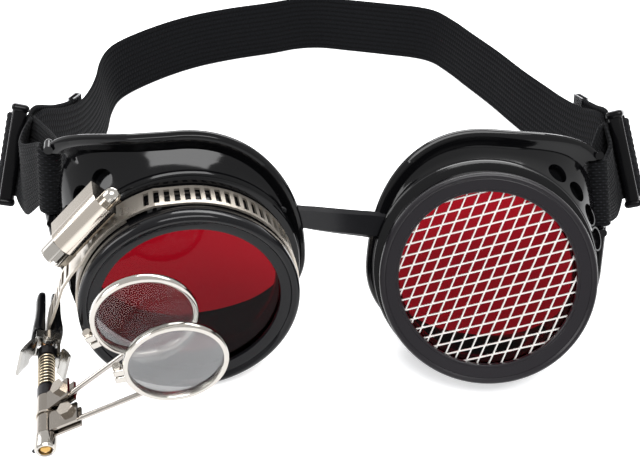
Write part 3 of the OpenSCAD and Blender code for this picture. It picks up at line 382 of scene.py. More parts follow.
# The same, with how metallic it is at the end
METALS = {
    "nickel": ("nickel_plate", "b7afa5", "7f776d", 0.15, 0.2, 700, 0.04, 1.0),
    "band": ("band_plate", "b5ada2", "827a6f", 0.3, 0.2, 700, 0.04, 0.9),
    "bright": ("bright_plate", "aaa6a0", "78736c", 0.12, 0.16, 700, 0.04, 1.0),
    "handle": ("clip_plate", "989692", "6a6762", 0.22, 0.2, 700, 0.06, 1.0),
    "bracket": ("bracket_plate", "8f8982", "5d5853", 0.12, 0.2, 700, 0.04, 1.0),
    "arm": ("arm_wire", "9b9690", "66625d", 0.16, 0.2, 700, 0.04, 1.0),
    "spring": ("spring_wire", "a79c88", "6f6657", 0.22, 0.2, 900, 0.05, 1.0),
    "coil": ("coppery_wire", "a87c55", "6d5139", 0.26, 0.2, 900, 0.05, 1.0),
    "gunmetal": ("gunmetal", "343335", "5c5a5c", 0.3, 0.15, 800, 0.05, 0.9),
    "brass": ("brass_rod", "ad8a50", "7d6038", 0.24, 0.2, 800, 0.05, 1.0),
    "wire": ("mesh_wire", "e8e6e2", "b4b2ad", 0.28, 0.14, 900, 0.04, 0.7),
    "tip": ("crimp_steel", "b4b5b7", "7e7f81", 0.22, 0.16, 800, 0.05, 1.0),
}
MATS = {key: surface(*row, specular=level) for key, (*row, level) in BLACKS.items()}
MATS.update({key: surface(*row, metallic=level) for key, (*row, level) in METALS.items()})
MATS["webbing"] = webbing_material("elastic_webbing", 0.48, 0.72, 0.0)
# Its last colour is the sheen painted on the rib crests
MATS["webbing_end"] = webbing_material("elastic_webbing_woven", 0.9, 0.62, 0.3, "0e0f11")
MATS["red"] = glass("red_glass", "720712", 0.005, 1.0, ior=1.14)
MATS["clear"] = glass("clear_glass", "a9adaf", 0.0, 0.5, ior=1.27)


# Modelling helpers

def deselect():
    if bpy.context.object and bpy.context.object.mode != "OBJECT":
        bpy.ops.object.mode_set(mode="OBJECT")
    bpy.ops.object.select_all(action="DESELECT")


def only(obj):
    deselect()
    obj.select_set(True)
    bpy.context.view_layer.objects.active = obj


def tidy_mesh(obj, merge=0.0):
    only(obj)
    bpy.ops.object.mode_set(mode="EDIT")
    bpy.ops.mesh.select_all(action="SELECT")
    if merge:
        bpy.ops.mesh.remove_doubles(threshold=merge)
    bpy.ops.mesh.normals_make_consistent(inside=False)
    bpy.ops.object.mode_set(mode="OBJECT")


def settle(obj, name, at, mat, body, angle):
    """Gives a piece built in local mm its place, finish and body."""
    only(obj)
    bpy.ops.object.transform_apply(location=True, rotation=True, scale=True)
    place = TO_METRES @ at
    obj.data.transform(place)
    if place.determinant() < 0:
        obj.data.flip_normals()
    obj.name = name
    obj.data.name = name
    obj.data.materials.clear()
    obj.data.materials.append(MATS[mat])
    only(obj)
    bpy.ops.object.shade_smooth_by_angle(angle=math.radians(angle))
    deselect()
    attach(obj, body)


def new_object(name, verts, faces):
    mesh = bpy.data.meshes.new(name)
    mesh.from_pydata([tuple(v) for v in verts], [], faces)
    mesh.update()
    obj = bpy.data.objects.new(name, mesh)
    bpy.context.scene.collection.objects.link(obj)
    return obj


def loft(name, rings, closed=False):
    """Solid through rings of the same number of points."""
    n = len(rings[0])
    last = len(rings)
    faces = []
    for i in range(last if closed else last - 1):
        a, b = i * n, ((i + 1) % last) * n
        for j in range(n):
            k = (j + 1) % n
            faces.append((a + j, a + k, b + k, b + j))
    if not closed:
        faces.append(tuple(range(n - 1, -1, -1)))
        faces.append(tuple((last - 1) * n + j for j in range(n)))
    obj = new_object(name, [p for ring in rings for p in ring], faces)
    tidy_mesh(obj)
    return obj


LEAST_R = 0.0001


def turned(name, profile, steps=96, closed=True):
    """Body of revolution about Z: a circle drawn up through the (radius, height) points."""
    deselect()
    points = [(max(r, LEAST_R), z) for r, z in profile]
    radius, height = points[0]
    bpy.ops.mesh.primitive_circle_add(vertices=steps, radius=radius, location=(0, 0, 0))
    obj = bpy.context.object
    obj.name = name
    bpy.ops.object.mode_set(mode="EDIT")
    bpy.ops.mesh.select_all(action="SELECT")
    bpy.ops.transform.translate(value=(0, 0, height))
    for r, z in points[1:] + (points[:1] if closed else []):
        bpy.ops.mesh.extrude_edges_move(TRANSFORM_OT_translate={"value": (0, 0, z - height)})
        k = r / radius
        bpy.ops.transform.resize(value=(k, k, 1), center_override=(0, 0, z))
        radius, height = r, z
    bpy.ops.mesh.select_all(action="SELECT")
    bpy.ops.mesh.remove_doubles(threshold=0.001)
    bpy.ops.mesh.normals_make_consistent(inside=False)
    bpy.ops.object.mode_set(mode="OBJECT")
    return obj


def add_modifier(obj, kind, **values):
    mod = obj.modifiers.new(kind.lower(), kind)
    for key, value in values.items():
        setattr(mod, key, value)
    only(obj)
    bpy.ops.object.modifier_apply(modifier=mod.name)


def soft_box(name, size, middle, bevel, segments=3, at=None):
    """Box with rounded edges, in local mm."""
    deselect()
    bpy.ops.mesh.primitive_cube_add(size=1, location=middle)
    obj = bpy.context.object
    obj.name = name
    obj.scale = size
    bpy.ops.object.transform_apply(location=True, rotation=True, scale=True)
    if at is not None:
        obj.data.transform(at)
    add_modifier(obj, "BEVEL", width=bevel, segments=segments, limit_method="NONE")
    return obj


def rod_between(name, a, b, radius, steps):
    a, b = Vector(a), Vector(b)
    deselect()
    bpy.ops.mesh.primitive_cylinder_add(vertices=steps, radius=radius, depth=(b - a).length)
    obj = bpy.context.object
    obj.name = name
    spin = (b - a).to_track_quat("Z", "Y").to_matrix().to_4x4()
    obj.data.transform(Matrix.Translation((a + b) / 2) @ spin)
    return obj


def joined(name, parts):
    deselect()
    for p in parts:
        p.select_set(True)
    bpy.context.view_layer.objects.active = parts[0]
    bpy.ops.object.join()
    parts[0].name = name
    deselect()
    return parts[0]


def cut(obj, tool):
    tidy_mesh(tool)
    tidy_mesh(obj, 0.0005)
    add_modifier(obj, "BOOLEAN", operation="DIFFERENCE", solver="EXACT", object=tool)
    bpy.data.objects.remove(tool)


def smooth_line(points, steps):
    """Centripetal Catmull-Rom line through points of any size, with steps per span."""
    out = []
    n = len(points)
    for i in range(n - 1):
        p0 = points[max(i - 1, 0)]
        p1, p2 = points[i], points[i + 1]
        p3 = points[min(i + 2, n - 1)]
        d1 = max((p1 - p0).length, 1e-6) ** 0.5
        d2 = max((p2 - p1).length, 1e-6) ** 0.5
        d3 = max((p3 - p2).length, 1e-6) ** 0.5
        m1 = m2 = p2 - p1
        if i > 0:
            m1 = (p1 - p0) * (d2 / d1) * (d2 / (d1 + d2)) + (p2 - p1) * (d1 / (d1 + d2))
        if i < n - 2:
            m2 = (p3 - p2) * (d2 / d3) * (d2 / (d2 + d3)) + (p2 - p1) * (d3 / (d2 + d3))
        for k in range(steps):
            t = k / steps
            a, b = 2 * t ** 3 - 3 * t ** 2 + 1, t ** 3 - 2 * t ** 2 + t
            c, d = -2 * t ** 3 + 3 * t ** 2, t ** 3 - t ** 2
            out.append(p1 * a + m1 * b + p2 * c + m2 * d)
    out.append(points[-1].copy())
    return out


def tube(name, line, radius, sides=10, up=UP):
    """Round wire along a line of points, with its frame carried along."""
    rings = []
    tangent = (line[1] - line[0]).normalized()
    side = tangent.cross(up)
    if side.length < 0.1:
        side = tangent.cross(Vector((1, 0, 0)))
    side.normalize()
    for i, p in enumerate(line):
        t = (line[min(i + 1, len(line) - 1)] - line[max(i - 1, 0)]).normalized()
        side = (side - t * side.dot(t)).normalized()
        out = t.cross(side)
        ring = []
        for k in range(sides):
            a = 2 * math.pi * k / sides
            ring.append(p + radius * (math.cos(a) * side + math.sin(a) * out))
        rings.append(ring)
    return loft(name, rings)


def squared(value, power):
    """A cosine or sine that makes a round outline squarer, more so with a smaller power."""
    return math.copysign(abs(value) ** power, value)


look_through()
studio()


# Lens rings, from the ring's front face back

OPENING_R, LIP_R, SLEEVE_R, SLEEVE_IN_R = 23.5, 28.75, 26.5, 25.1
GROOVE_R, RIDGE_R, BORE_R = 28.35, 31.55, 26.55
LEDGE_DEPTH, LIP_BACK, SLEEVE_END = 2.6, 4.2, 10.4


def lens_ring(name, at, body, mat, node, face):
    """Ring from (radius, depth) points: opening, the given face, lip and sleeve."""
    profile = [(OPENING_R, LEDGE_DEPTH), *face, (LIP_R, 3.7), (LIP_R - 0.15, 4.05),
               (LIP_R - 0.4, LIP_BACK), (SLEEVE_R, LIP_BACK), (SLEEVE_R, SLEEVE_END),
               (SLEEVE_IN_R, SLEEVE_END), (SLEEVE_IN_R, LEDGE_DEPTH)]
    ring = turned(name, [(r, -z) for r, z in profile], 128)
    settle(ring, name, at, mat, body, 28)
    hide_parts(node)


# The left ring has a dish, a fine groove and a round outer bead, the right one a flat face
DISH_AND_BEAD = [(23.5, 1.9), (23.65, 1.6), (24.0, 1.5), (25.9, 1.0), (26.1, 1.02), (26.2, 1.0),
                 (26.3, 0.75), (26.6, 0.4), (27.0, 0.13), (27.5, 0.0), (28.0, 0.12),
                 (28.4, 0.42), (28.65, 0.85), (28.75, 1.4)]
FLAT_FACE = [(23.5, 1.7), (23.6, 1.3), (23.85, 1.1), (24.2, 1.05), (24.35, 0.85), (26.9, 0.42),
             (27.05, 0.5), (27.2, 0.38), (27.5, 0.1), (27.9, 0.0), (28.25, 0.1), (28.55, 0.45),
             (28.75, 1.1)]
lens_ring("ring_turned_left", AT_LEFT, "ring_left", "ring_left", "lens_ring_left", DISH_AND_BEAD)
lens_ring("ring_turned_right", AT_RIGHT, "ring_right", "ring_right", "lens_ring_right", FLAT_FACE)


# Eye cups

BROW_H, CHEEK_H, NASAL_W, TEMPLE_W = 39.5, 24.5, 33.5, 36.6
TEMPLE_CORNER, OTHER_CORNERS = 0.42, 0.88
FLANGE_DEPTH, RIDGE_BACK = 21, 17.7
BROW_SWEEP, TEMPLE_SWEEP, NASAL_SWEEP = 1.5, 14, 3
LUG_U, LUG_V, LUG_TILT = 33, 22.8, 9
LUG_BAR_D, LUG_H, LUG_ROOT, LUG_BAR_DEPTH = 2.4, 22.9, 30.6, 35.4
AT_LUG = Matrix.Translation((LUG_U, LUG_V, 0)) @ turn(LUG_TILT, "Z")
VENT_ANGLES, VENT_R, VENT_OUT, VENT_SHARE, VENT_LEAN = (18, 31, 44, 57), 3.1, 3.6, 0.42, 60
RING_POINTS = 144


def flange_point(t):
    c, s = math.cos(t), math.sin(t)
    power = TEMPLE_CORNER if c > 0 and s > 0 else OTHER_CORNERS
    x = squared(c, power) * (TEMPLE_W if c > 0 else NASAL_W)
    y = squared(s, power) * (BROW_H if s > 0 else CHEEK_H)
    return x, y


def flange_depth_at(x, y):
    brow = BROW_SWEEP * (y / BROW_H) ** 2 if y > 0 else 0
    side = TEMPLE_SWEEP * (x / TEMPLE_W) ** 2 if x > 0 else -NASAL_SWEEP * (x / NASAL_W) ** 2
    return FLANGE_DEPTH + brow + side


def wall_ring(f, root, scale, shift):
    """Outline of the wall a share f of the way from the ridge to the flange."""
    ring = []
    for k in range(RING_POINTS):
        t = 2 * math.pi * k / RING_POINTS
        x, y = flange_point(t)
        px = root * math.cos(t) * (1 - f) + x * scale * f
        py = root * math.sin(t) * (1 - f) + y * scale * f
        depth = (RIDGE_BACK - 0.4) * (1 - f) + flange_depth_at(x, y) * f + shift
        ring.append(Vector((px, py, -depth)))
    return ring


def lug_loop():
    """Round-cornered bar behind the flange that the webbing passes round."""
    half = LUG_H / 2
    corners = [Vector((0, -half, -LUG_ROOT)), Vector((0, -half, -LUG_BAR_DEPTH)),
               Vector((0, half, -LUG_BAR_DEPTH)), Vector((0, half, -LUG_ROOT))]
    line = []
    for a, b in zip(corners[:-1], corners[1:]):
        line += [a.lerp(b, k / 12) for k in range(12)]
    line.append(corners[-1])
    for _ in range(3):
        eased = [(line[i - 1] + 2 * line[i] + line[i + 1]) / 4 for i in range(1, len(line) - 1)]
        line = [line[0], *eased, line[-1]]
    loop = tube("lug", line, LUG_BAR_D / 2, 20, Vector((1, 0, 0)))
    loop.data.transform(AT_LUG)
    return loop


def vent_place(angle):
    """Place of a vent on the sloping wall, at an angle round the cup."""
    r = RIDGE_R + VENT_OUT
    a = math.radians(angle)
    x, y = r * math.cos(a), r * math.sin(a)
    depth = RIDGE_BACK + (flange_depth_at(x, y) - RIDGE_BACK) * VENT_SHARE
    return Matrix.Translation((x, y, -depth)) @ turn(angle, "Z") @ turn(VENT_LEAN, "Y")


def eye_cup(side, at):
    inner = BORE_R + 0.7
    root = RIDGE_R - 1.9
    # Share of the way to the flange, radius at the root, scale of the outline, shift in depth
    outside = [(0, root, 1, -1.8), (0.16, root + 0.6, 0.9, -0.5), (0.32, root + 0.9, 0.9, 0.4),
               (0.52, root + 0.9, 0.9, 0.45), (0.72, root + 0.9, 0.9, 0.3),
               (0.88, root, 0.9, 0.25), (0.97, 0, 0.9, 0.2)]
    rolled_edge = [(1, 0, scale, shift) for scale, shift in (
        (0.915, -0.35), (0.935, -0.85), (0.96, -1.1), (0.985, -0.8), (0.998, -0.2), (1.002, 0.6),
        (0.998, 1.35), (0.98, 2.05), (0.95, 2.4), (0.9, 2.4), (0.85, 2.0))]
    inside = [(0.8, inner + 0.4, 0.84, 0.6), (0.6, inner + 0.4, 0.84, 0),
              (0.25, inner + 0.2, 0.84, 0), (0, inner, 1, -1.8)]
    rings = [wall_ring(*row) for row in outside + rolled_edge + inside]
    wall = loft("wall", rings, closed=True)
    for angle in VENT_ANGLES:
        deselect()
        bpy.ops.mesh.primitive_cylinder_add(vertices=40, radius=VENT_R, depth=12)
        drill = bpy.context.object
        drill.data.transform(vent_place(angle) @ Matrix.Translation((0, 0, 2.6)))
        cut(wall, drill)
    # Gap in the flange's edge behind which the webbing goes round the bar
    cut(wall, soft_box("notch", (9, 20.5, 12), (0, 0, -37.4), 0.6, at=AT_LUG))
    flip = MIRROR_X if side == "left" else Matrix()
    neck = turned("neck", [(r, -z) for r, z in (
        (BORE_R, 4.5), (GROOVE_R - 0.6, 4.5), (GROOVE_R - 0.1, 4.7), (GROOVE_R, 5.0),
        (GROOVE_R, 13.6), (GROOVE_R + 0.3, 14.0), (RIDGE_R - 1.3, 14.1), (RIDGE_R - 0.6, 14.3),
        (RIDGE_R - 0.4, 14.7), (RIDGE_R - 0.45, 15.1), (RIDGE_R - 0.9, 15.4),
        (RIDGE_R - 0.9, 15.7), (RIDGE_R - 0.3, 16.0), (RIDGE_R, 16.4), (RIDGE_R, 17.3),
        (RIDGE_R - 0.3, RIDGE_BACK), (BORE_R - 0.4, RIDGE_BACK), (24.6, 12.7), (23.8, 12.2),
        (23.8, 10.7), (BORE_R, 10.7))], RING_POINTS)
    parts = [wall, neck, lug_loop()]
    for angle in VENT_ANGLES:
        pot = turned("pot", [(VENT_R, -1.8), (VENT_R, -3.2), (0, -3.4), (0, -4.1), (3.3, -4.0),
                             (3.55, -3.7), (3.55, -1.8)], 40)
        pot.data.transform(vent_place(angle))
        parts.append(pot)
    cup = joined("cup", parts)
    settle(cup, "cup_shell_" + side, at @ flip, "cup", "frame", 32)
    # Flat underneath, where it would pass the table
    only(cup)
    bpy.ops.object.mode_set(mode="EDIT")
    bpy.ops.mesh.select_all(action="SELECT")
    bpy.ops.mesh.bisect(plane_co=(0, 0, 0), plane_no=(0, 0, -1), clear_outer=True, use_fill=True)
    bpy.ops.object.mode_set(mode="OBJECT")
    deselect()
    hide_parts("eye_cup_" + side)


# The nose strip: where it enters the cups' ridges, its middle, its directions and its section
HOLE_L = placed(AT_LEFT, 28.2, 12, RIDGE_BACK + 1.9)
HOLE_R = placed(AT_RIGHT, -28.6, 9.5, RIDGE_BACK + 1.9)
BRIDGE_MID = (HOLE_L + HOLE_R) / 2 + Vector((0, -1.2, 0.8))
DIR_L = (BRIDGE_MID - HOLE_L).normalized()
DIR_R = (BRIDGE_MID - HOLE_R).normalized()
ACROSS_L, ACROSS_R = Vector((0, 0, 1)), Vector((0.07, 0.35, 0.93))
BRIDGE_W, BRIDGE_T = 8, 2.2
eye_cup("left", AT_LEFT)
eye_cup("right", AT_RIGHT)


# Ribbons: strap and bridge

def ribbon(name, route, width, thick, steps, ribs=0, rib_depth=0.0):
    """Flat strip along stations of point, across and share of width, with its UV in mm."""
    points = smooth_line([Vector(p[0]) for p in route], steps)
    across = smooth_line([Vector(p[1]).normalized() for p in route], steps)
    shares = smooth_line([Vector((p[2] if len(p) > 2 else 1, 0, 0)) for p in route], steps)
    section = []
    half_t = thick / 2
    count = max(ribs * 4, 8)
    for k in range(count + 1):
        x = -0.5 + k / count
        edge = min(1.0, (0.5 - abs(x)) * width / half_t)
        h = half_t * math.sqrt(max(0.0, 1 - (1 - edge) ** 2))
        if ribs:
            h -= rib_depth * (0.5 + 0.5 * math.cos(2 * math.pi * ribs * (x + 0.5))) * edge
        section.append((x, h))
    outline = [(x, h) for x, h in section] + [(x, -h) for x, h in reversed(section[1:-1])]
    rings, lengths, total = [], [], 0.0
    for i, p in enumerate(points):
        t = (points[min(i + 1, len(points) - 1)] - points[max(i - 1, 0)]).normalized()
        w = across[i].normalized()
        face = t.cross(w).normalized()
        if i:
            total += (p - points[i - 1]).length
        lengths.append(total)
        rings.append([p + w * (x * width * shares[i].x) + face * h for x, h in outline])
    n = len(outline)
    obj = loft(name, rings)
    layer = obj.data.uv_layers.new(name="webbing")
    for poly in obj.data.polygons:
        for li in poly.loop_indices:
            v = obj.data.loops[li].vertex_index
            x = outline[v % n][0]
            layer.data[li].uv = ((x + 0.5) * width, lengths[v // n])
    return obj, n


def bridge():
    def mixed(f):
        return ACROSS_L * (1 - f) + ACROSS_R * f
    in_l, in_r = HOLE_L - DIR_L * 5, HOLE_R - DIR_R * 5
    route = [(in_l, ACROSS_L), (HOLE_L, ACROSS_L), (HOLE_L + 5 * DIR_L, ACROSS_L),
             (HOLE_L + 9 * DIR_L, mixed(0.25)), (BRIDGE_MID, mixed(0.5)),
             (HOLE_R + 9 * DIR_R, mixed(0.75)), (HOLE_R + 5 * DIR_R, ACROSS_R),
             (HOLE_R, ACROSS_R), (in_r, ACROSS_R)]
    strip, _ = ribbon("strip", route, BRIDGE_W, BRIDGE_T, 8)
    parts = [strip]
    for end, d, w in ((in_l, DIR_L, ACROSS_L), (in_r, DIR_R, ACROSS_R)):
        wq = (w - d * w.dot(d)).normalized()
        basis = Matrix((d, wq.cross(d), wq)).transposed().to_4x4()
        head = soft_box("head", (1.8, 4.6, 10.4), (0, 0, 0), 0.5)
        head.data.transform(Matrix.Translation(end) @ basis)
        parts.append(head)
    piece = joined("bridge", parts)
    settle(piece, "bridge_strip", Matrix(), "bridge", "frame", 40)
    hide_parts("nose_bridge")


bridge()

# Where the webbing's middle runs past the bars of slider and cup, as (along, out) points in mm
GLIDE_GAP, GLIDE_BAR, WEBBING_GAP = 6.2, 2.4, 0.4
BAR_CLEAR = GLIDE_BAR / 2 + WEBBING_GAP + WEBBING_T / 2
LAP = WEBBING_T + WEBBING_GAP
LUG_CLEAR = 1.6 + WEBBING_GAP + WEBBING_T / 2


def tail_weave():
    g, b = GLIDE_GAP, BAR_CLEAR
    return [(g + 3, -b), (g, -b), (g - 1.5, -b + 0.5), (g - b, -0.7), (b + LAP, 1.4),
            (b + LAP - 0.7, 2.9), (1.7, b + LAP - 0.1), (0, b + LAP), (-1.7, b + LAP - 0.1),
            (-b - LAP + 0.7, 2.9), (-b - LAP, 1.4), (-g + b, -0.7), (-g + 1.5, -b + 0.5),
            (-g, -b), (-g - 1.8, -b)]


def main_weave():
    g, b = GLIDE_GAP, BAR_CLEAR
    return [(-g - 1.8, -b - LAP), (-g + 1, -b - LAP), (-b - 0.9, -b - LAP + 0.5), (-b, -b),
            (-b, 0.9), (-1.5, b - 0.3), (0, b), (1.5, b - 0.3), (b, 0.9), (b, -b),
            (b + 0.9, -b - LAP + 0.5), (g - 1, -b - LAP), (g + 3, -b - LAP)]


def lug_route():
    r = LUG_CLEAR * 1.03
    bend = [(r * math.cos(math.radians(a)), r * math.sin(math.radians(a)))
            for a in range(90, 271, 30)]
    return [(2.5, LUG_CLEAR)] + bend + [(2.5, -LUG_CLEAR)]


def stations(points, origin, along, out, across, share=1.0):
    return [(origin + along * a + out * b, across, share) for a, b in points]


# Share of its width to which the webbing bunches up round the cup's bar
BUNCH = (20.5 - 0.8) / WEBBING_W


def slider_axes(across, along):
    w = Vector(across).normalized()
    t = w.cross(Vector(along)).normalized()
    return t.cross(w), t, w


def strap_end(tail, glide, across, along, side, bulge, lug):
    e, t, w = slider_axes(across, along)
    origin, lug_e, lug_t, lug_w = lug
    glide = Vector(glide)
    return (tail + stations(tail_weave(), glide, e, t * side, w) + bulge
            + stations(lug_route(), origin, lug_e, lug_t, lug_w, BUNCH)
            + stations(main_weave(), glide, e, t * side, w))


def lug_frame(at, sign):
    c, s = math.cos(math.radians(LUG_TILT)), math.sin(math.radians(LUG_TILT))
    x, y, n = (at.to_3x3() @ Vector(v) for v in ((1, 0, 0), (0, 1, 0), (0, 0, 1)))
    place = placed(at, sign * LUG_U, LUG_V, LUG_BAR_DEPTH)
    return place, -n, x * (c * sign) + y * s, x * (-s * sign) + y * c


# Middle of each slider, the webbing's across direction there and the way that it runs
GLIDE_L = ((-100, 56.5, 37), (0.19, 0.54, 0.82), (-0.3, 0.9, -0.3))
GLIDE_R = ((92, 64.7, 29.8), (-0.23, 0.56, 0.8), (0.3, 0.9, -0.2))


def st(x, y, z, *across):
    """Station of the strap: its point, its across direction and, if given, its share of width."""
    share = across[3] if len(across) > 3 else 1.0
    return (Vector((x, y, z)), Vector(across[:3]), share)


TAIL_L = [st(-94.8, 106, 15.8, 0.05, 0.236, 0.97), st(-95.7, 98.8, 17.6, 0.05, 0.236, 0.97),
          st(-95.9, 97.2, 18, 0.05, 0.236, 0.97),
          st(-98, 86, 23, 0.1, 0.3, 0.95), st(-101, 73, 30.2, 0.15, 0.4, 0.9)]
TAIL_R = [st(88.5, 104, 16.5, -0.04, 0.275, 0.96), st(89.5, 96.8, 18.6, -0.04, 0.275, 0.96),
          st(89.7, 95.36, 19.02, -0.04, 0.275, 0.96),
          st(91.3, 87, 22, -0.1, 0.35, 0.93), st(92.6, 80, 24.8, -0.14, 0.42, 0.9)]
BULGE_L = [st(-91.8, 38, 40.8, 0.1, 0.14, 0.99, 0.96)]
BULGE_R = [st(85.2, 51, 31, -0.16, 0.42, 0.89, 0.96)]
HEAD_LOOP = [st(-98, 72, 29.5, 0.15, 0.4, 0.9), st(-95, 86, 22, 0.1, 0.3, 0.95),
             st(-92.6, 101, 16.2, 0.05, 0.18, 0.98), st(-91.6, 116, 13.1, 0, 0.05, 1)]
HEAD_LOOP += [st(x, y, 12.5, 0, 0, 1) for x, y in (
    (-91.6, 128), (-92.4, 140), (-91.4, 150), (-88, 157), (-76, 170), (-62, 180.5), (-46, 188),
    (-28, 194), (-16, 198.6), (-6, 199.6), (8, 196.8), (26, 192.6), (38, 189.5), (45, 185.5),
    (51.5, 176), (58, 163.5), (66, 148), (73, 132.5))]
HEAD_LOOP += [st(79, 119, 13, 0, 0.04, 1), st(83.2, 107, 14.5, -0.03, 0.12, 0.99),
              st(87, 93, 18, -0.05, 0.24, 0.97), st(90.2, 79, 24, -0.12, 0.4, 0.91)]
STRAP_STEPS = 7


def strap():
    left = strap_end(TAIL_L, *GLIDE_L, 1, BULGE_L, lug_frame(AT_LEFT, -1))
    right = strap_end(TAIL_R, *GLIDE_R, -1, BULGE_R, lug_frame(AT_RIGHT, 1))
    route = left + HEAD_LOOP + right[::-1]
    obj, n = ribbon("webbing", route, WEBBING_W, WEBBING_T, STRAP_STEPS, 12, 0.16)
    settle(obj, "strap_webbing", Matrix(), "webbing", "frame", 60)
    obj.data.materials.append(MATS["webbing_end"])
    # Between slider and cup the elastic shows its close weave
    in_tail, in_main = len(tail_weave()), len(main_weave()) - 1
    first = (len(TAIL_L) + in_tail - 1) * STRAP_STEPS
    second = (len(left) - in_main) * STRAP_STEPS
    third = (len(left) + len(HEAD_LOOP) + in_main) * STRAP_STEPS
    fourth = (len(route) - len(TAIL_R) - in_tail) * STRAP_STEPS
    for poly in obj.data.polygons:
        row = poly.vertices[0] // n
        if first < row < second or third < row < fourth:
            poly.material_index = 1
    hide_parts("elastic_strap")


strap()


SLIDER_DEEP, SLIDER_OUT, SLIDER_END = 4.2, 0.9, 2.4


def slider(side, glide, node):
    """Three-bar slider; its outer bars and its ends reach outwards past the webbing's fold."""
    e, t, w = slider_axes(glide[1], glide[2])
    basis = Matrix((e, t, w)).transposed().to_4x4()
    length = WEBBING_W + 1.4 + 2 * SLIDER_END
    middle = SLIDER_OUT * (1 if side == "left" else -1)
    half = length / 2 - 1
    parts = [rod_between("bar", (0, 0, -half), (0, 0, half), GLIDE_BAR / 2, 28)]
    for x in (-1, 1):
        size = (GLIDE_BAR, SLIDER_DEEP, length - 2)
        parts.append(soft_box("bar", size, (x * GLIDE_GAP, middle, 0), 1.1, 4))
    for z in (-1, 1):
        size = (2 * GLIDE_GAP + 3.6, SLIDER_DEEP + 1, SLIDER_END)
        place = (0, middle, z * (length - SLIDER_END) / 2)
        parts.append(soft_box("end", size, place, 1.15, 4))
    piece = joined("slider", parts)
    at = Matrix.Translation(glide[0]) @ basis
    settle(piece, "slider_frame_" + side, at, "slider", "frame", 40)
    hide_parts(node)


slider("left", GLIDE_L, "strap_slider_left")
slider("right", GLIDE_R, "strap_slider_right")


# Wire mesh over the right lens

MESH_SLOPE, MESH_LEAN, PITCH_ACROSS, PITCH_LEAN = 19.3, 72.5, 2.91, 2.94
SHIFT_ACROSS, SHIFT_LEAN = -0.47, -1.04


def wire_mesh():
    """Two sets of wires, each passing over and under the other, in a thin rim."""
    radius, wire_r, middle, lift = 24.6, 0.26, 2.95, 0.06
    sloping = (MESH_SLOPE, PITCH_ACROSS, SHIFT_ACROSS)
    leaning = (MESH_LEAN, PITCH_LEAN, SHIFT_LEAN)
    parts = []
    for sign, (angle, pitch, shift), (other, other_pitch, other_shift) in (
            (1, sloping, leaning), (-1, leaning, sloping)):
        a = math.radians(angle)
        along = Vector((math.cos(a), math.sin(a), 0))
        over = Vector((-math.sin(a), math.cos(a), 0))
        b = math.radians(other)
        normal = Vector((-math.sin(b), math.cos(b), 0))
        count = int(radius / pitch) + 1
        for k in range(-count, count + 1):
            offset = k * pitch + shift
            if abs(offset) > radius - 1:
                continue
            half = math.sqrt(radius ** 2 - offset ** 2)
            line = []
            m = max(6, int(2 * half / 0.8))
            for i in range(m + 1):
                p = over * offset + along * (-half + 2 * half * i / m)
                phase = math.pi * ((p.dot(normal) - other_shift) / other_pitch)
                z = sign * lift * math.cos(phase) * (1 if k % 2 else -1)
                line.append(Vector((p.x, p.y, -middle + z)))
            parts.append(tube("wire", line, wire_r, 6))
    rim = turned("rim", [(23.8, -2.75), (24.9, -2.75), (24.9, -3.15), (23.8, -3.15)], 96)
    parts.append(rim)
    mesh = joined("wires", parts)
    settle(mesh, "woven_wire", AT_RIGHT, "wire", "lens_stack_right", 50)
    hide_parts("mesh_screen")


wire_mesh()


# Clip boots and springs

BOOT_FACE, BOOT_SIDES, BOOT_CORNER = 3.0, 28, 0.6


def boot(side, at, body, node):
    """Dipped rubber boot over a jaw, from rows of height, inner face, outer face, half width."""
    rows = [(z, x0, BOOT_FACE + more, h) for z, x0, more, h in (
        (1.4, 0.75, -0.6, 2.5), (1.9, 0.62, -0.2, 2.9), (3.0, 0.6, 0.1, 3.2), (5, 0.6, 0.3, 3.3),
        (9, 0.6, 0.35, 3.35), (12, 0.6, 0.6, 3.4), (14.2, 0.6, 0.9, 3.4),
        (15.6, 0.6, 0.95, 3.4), (16.4, 0.62, 0.8, 3.3))]
    rings = []
    for z, x0, x1, h in rows:
        ring = []
        for k in range(BOOT_SIDES):
            a = 2 * math.pi * k / BOOT_SIDES
            x = (x0 + x1) / 2 + (x1 - x0) / 2 * squared(math.cos(a), BOOT_CORNER)
            ring.append(Vector((x, h * squared(math.sin(a), BOOT_CORNER), z)))
        rings.append(ring)
    piece = loft("boot", rings)
    settle(piece, "boot_dipped_" + side, at, "boot", body, 45)
    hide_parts(node)


boot("fixed", AT_CLIP, "frame", "jaw_boot_fixed")
boot("moving", AT_CLIP @ MIRROR_X, "moving_jaw", "jaw_boot_moving")


def coil(name, at, axis_points, mat, wire_r, node):
    piece = tube(name, axis_points, wire_r)
    settle(piece, name, at, mat, "frame", 60)
    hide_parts(node)


def turn_angles(turns, steps):
    return [2 * math.pi * k / steps for k in range(steps * turns + 1)]


# Friction spring round the stem, from its lower end at SPRING_Z
SPRING_WIRE_R, SPRING_TURNS, SPRING_Z, SPRING_LEN = 0.3, 10, 23.6, 10.6
SPRING_R = 1.4 + 0.15 + SPRING_WIRE_R
SPRING_RISE = SPRING_LEN - 2 * SPRING_WIRE_R
coil("spring_wound", AT_STEM, [
    Vector((SPRING_R * math.cos(a), SPRING_R * math.sin(a),
            SPRING_Z + SPRING_WIRE_R + SPRING_RISE * a / (2 * math.pi * SPRING_TURNS)))
    for a in turn_angles(SPRING_TURNS, 28)], "spring", SPRING_WIRE_R, "friction_spring")
# Clip's spring round its pin, even to both sides of the jaws' middle
CLIP_COIL_R, CLIP_PITCH, CLIP_TURNS, PIN_Z = 0.8 + 0.2 + 0.225, 0.92, 4, 19.2
coil("clip_coil", AT_CLIP, [
    Vector((CLIP_COIL_R * math.cos(a), CLIP_PITCH * (a / (2 * math.pi) - CLIP_TURNS / 2),
            PIN_Z + CLIP_COIL_R * math.sin(a)))
    for a in turn_angles(CLIP_TURNS, 20)], "coil", 0.22, "clip_spring")


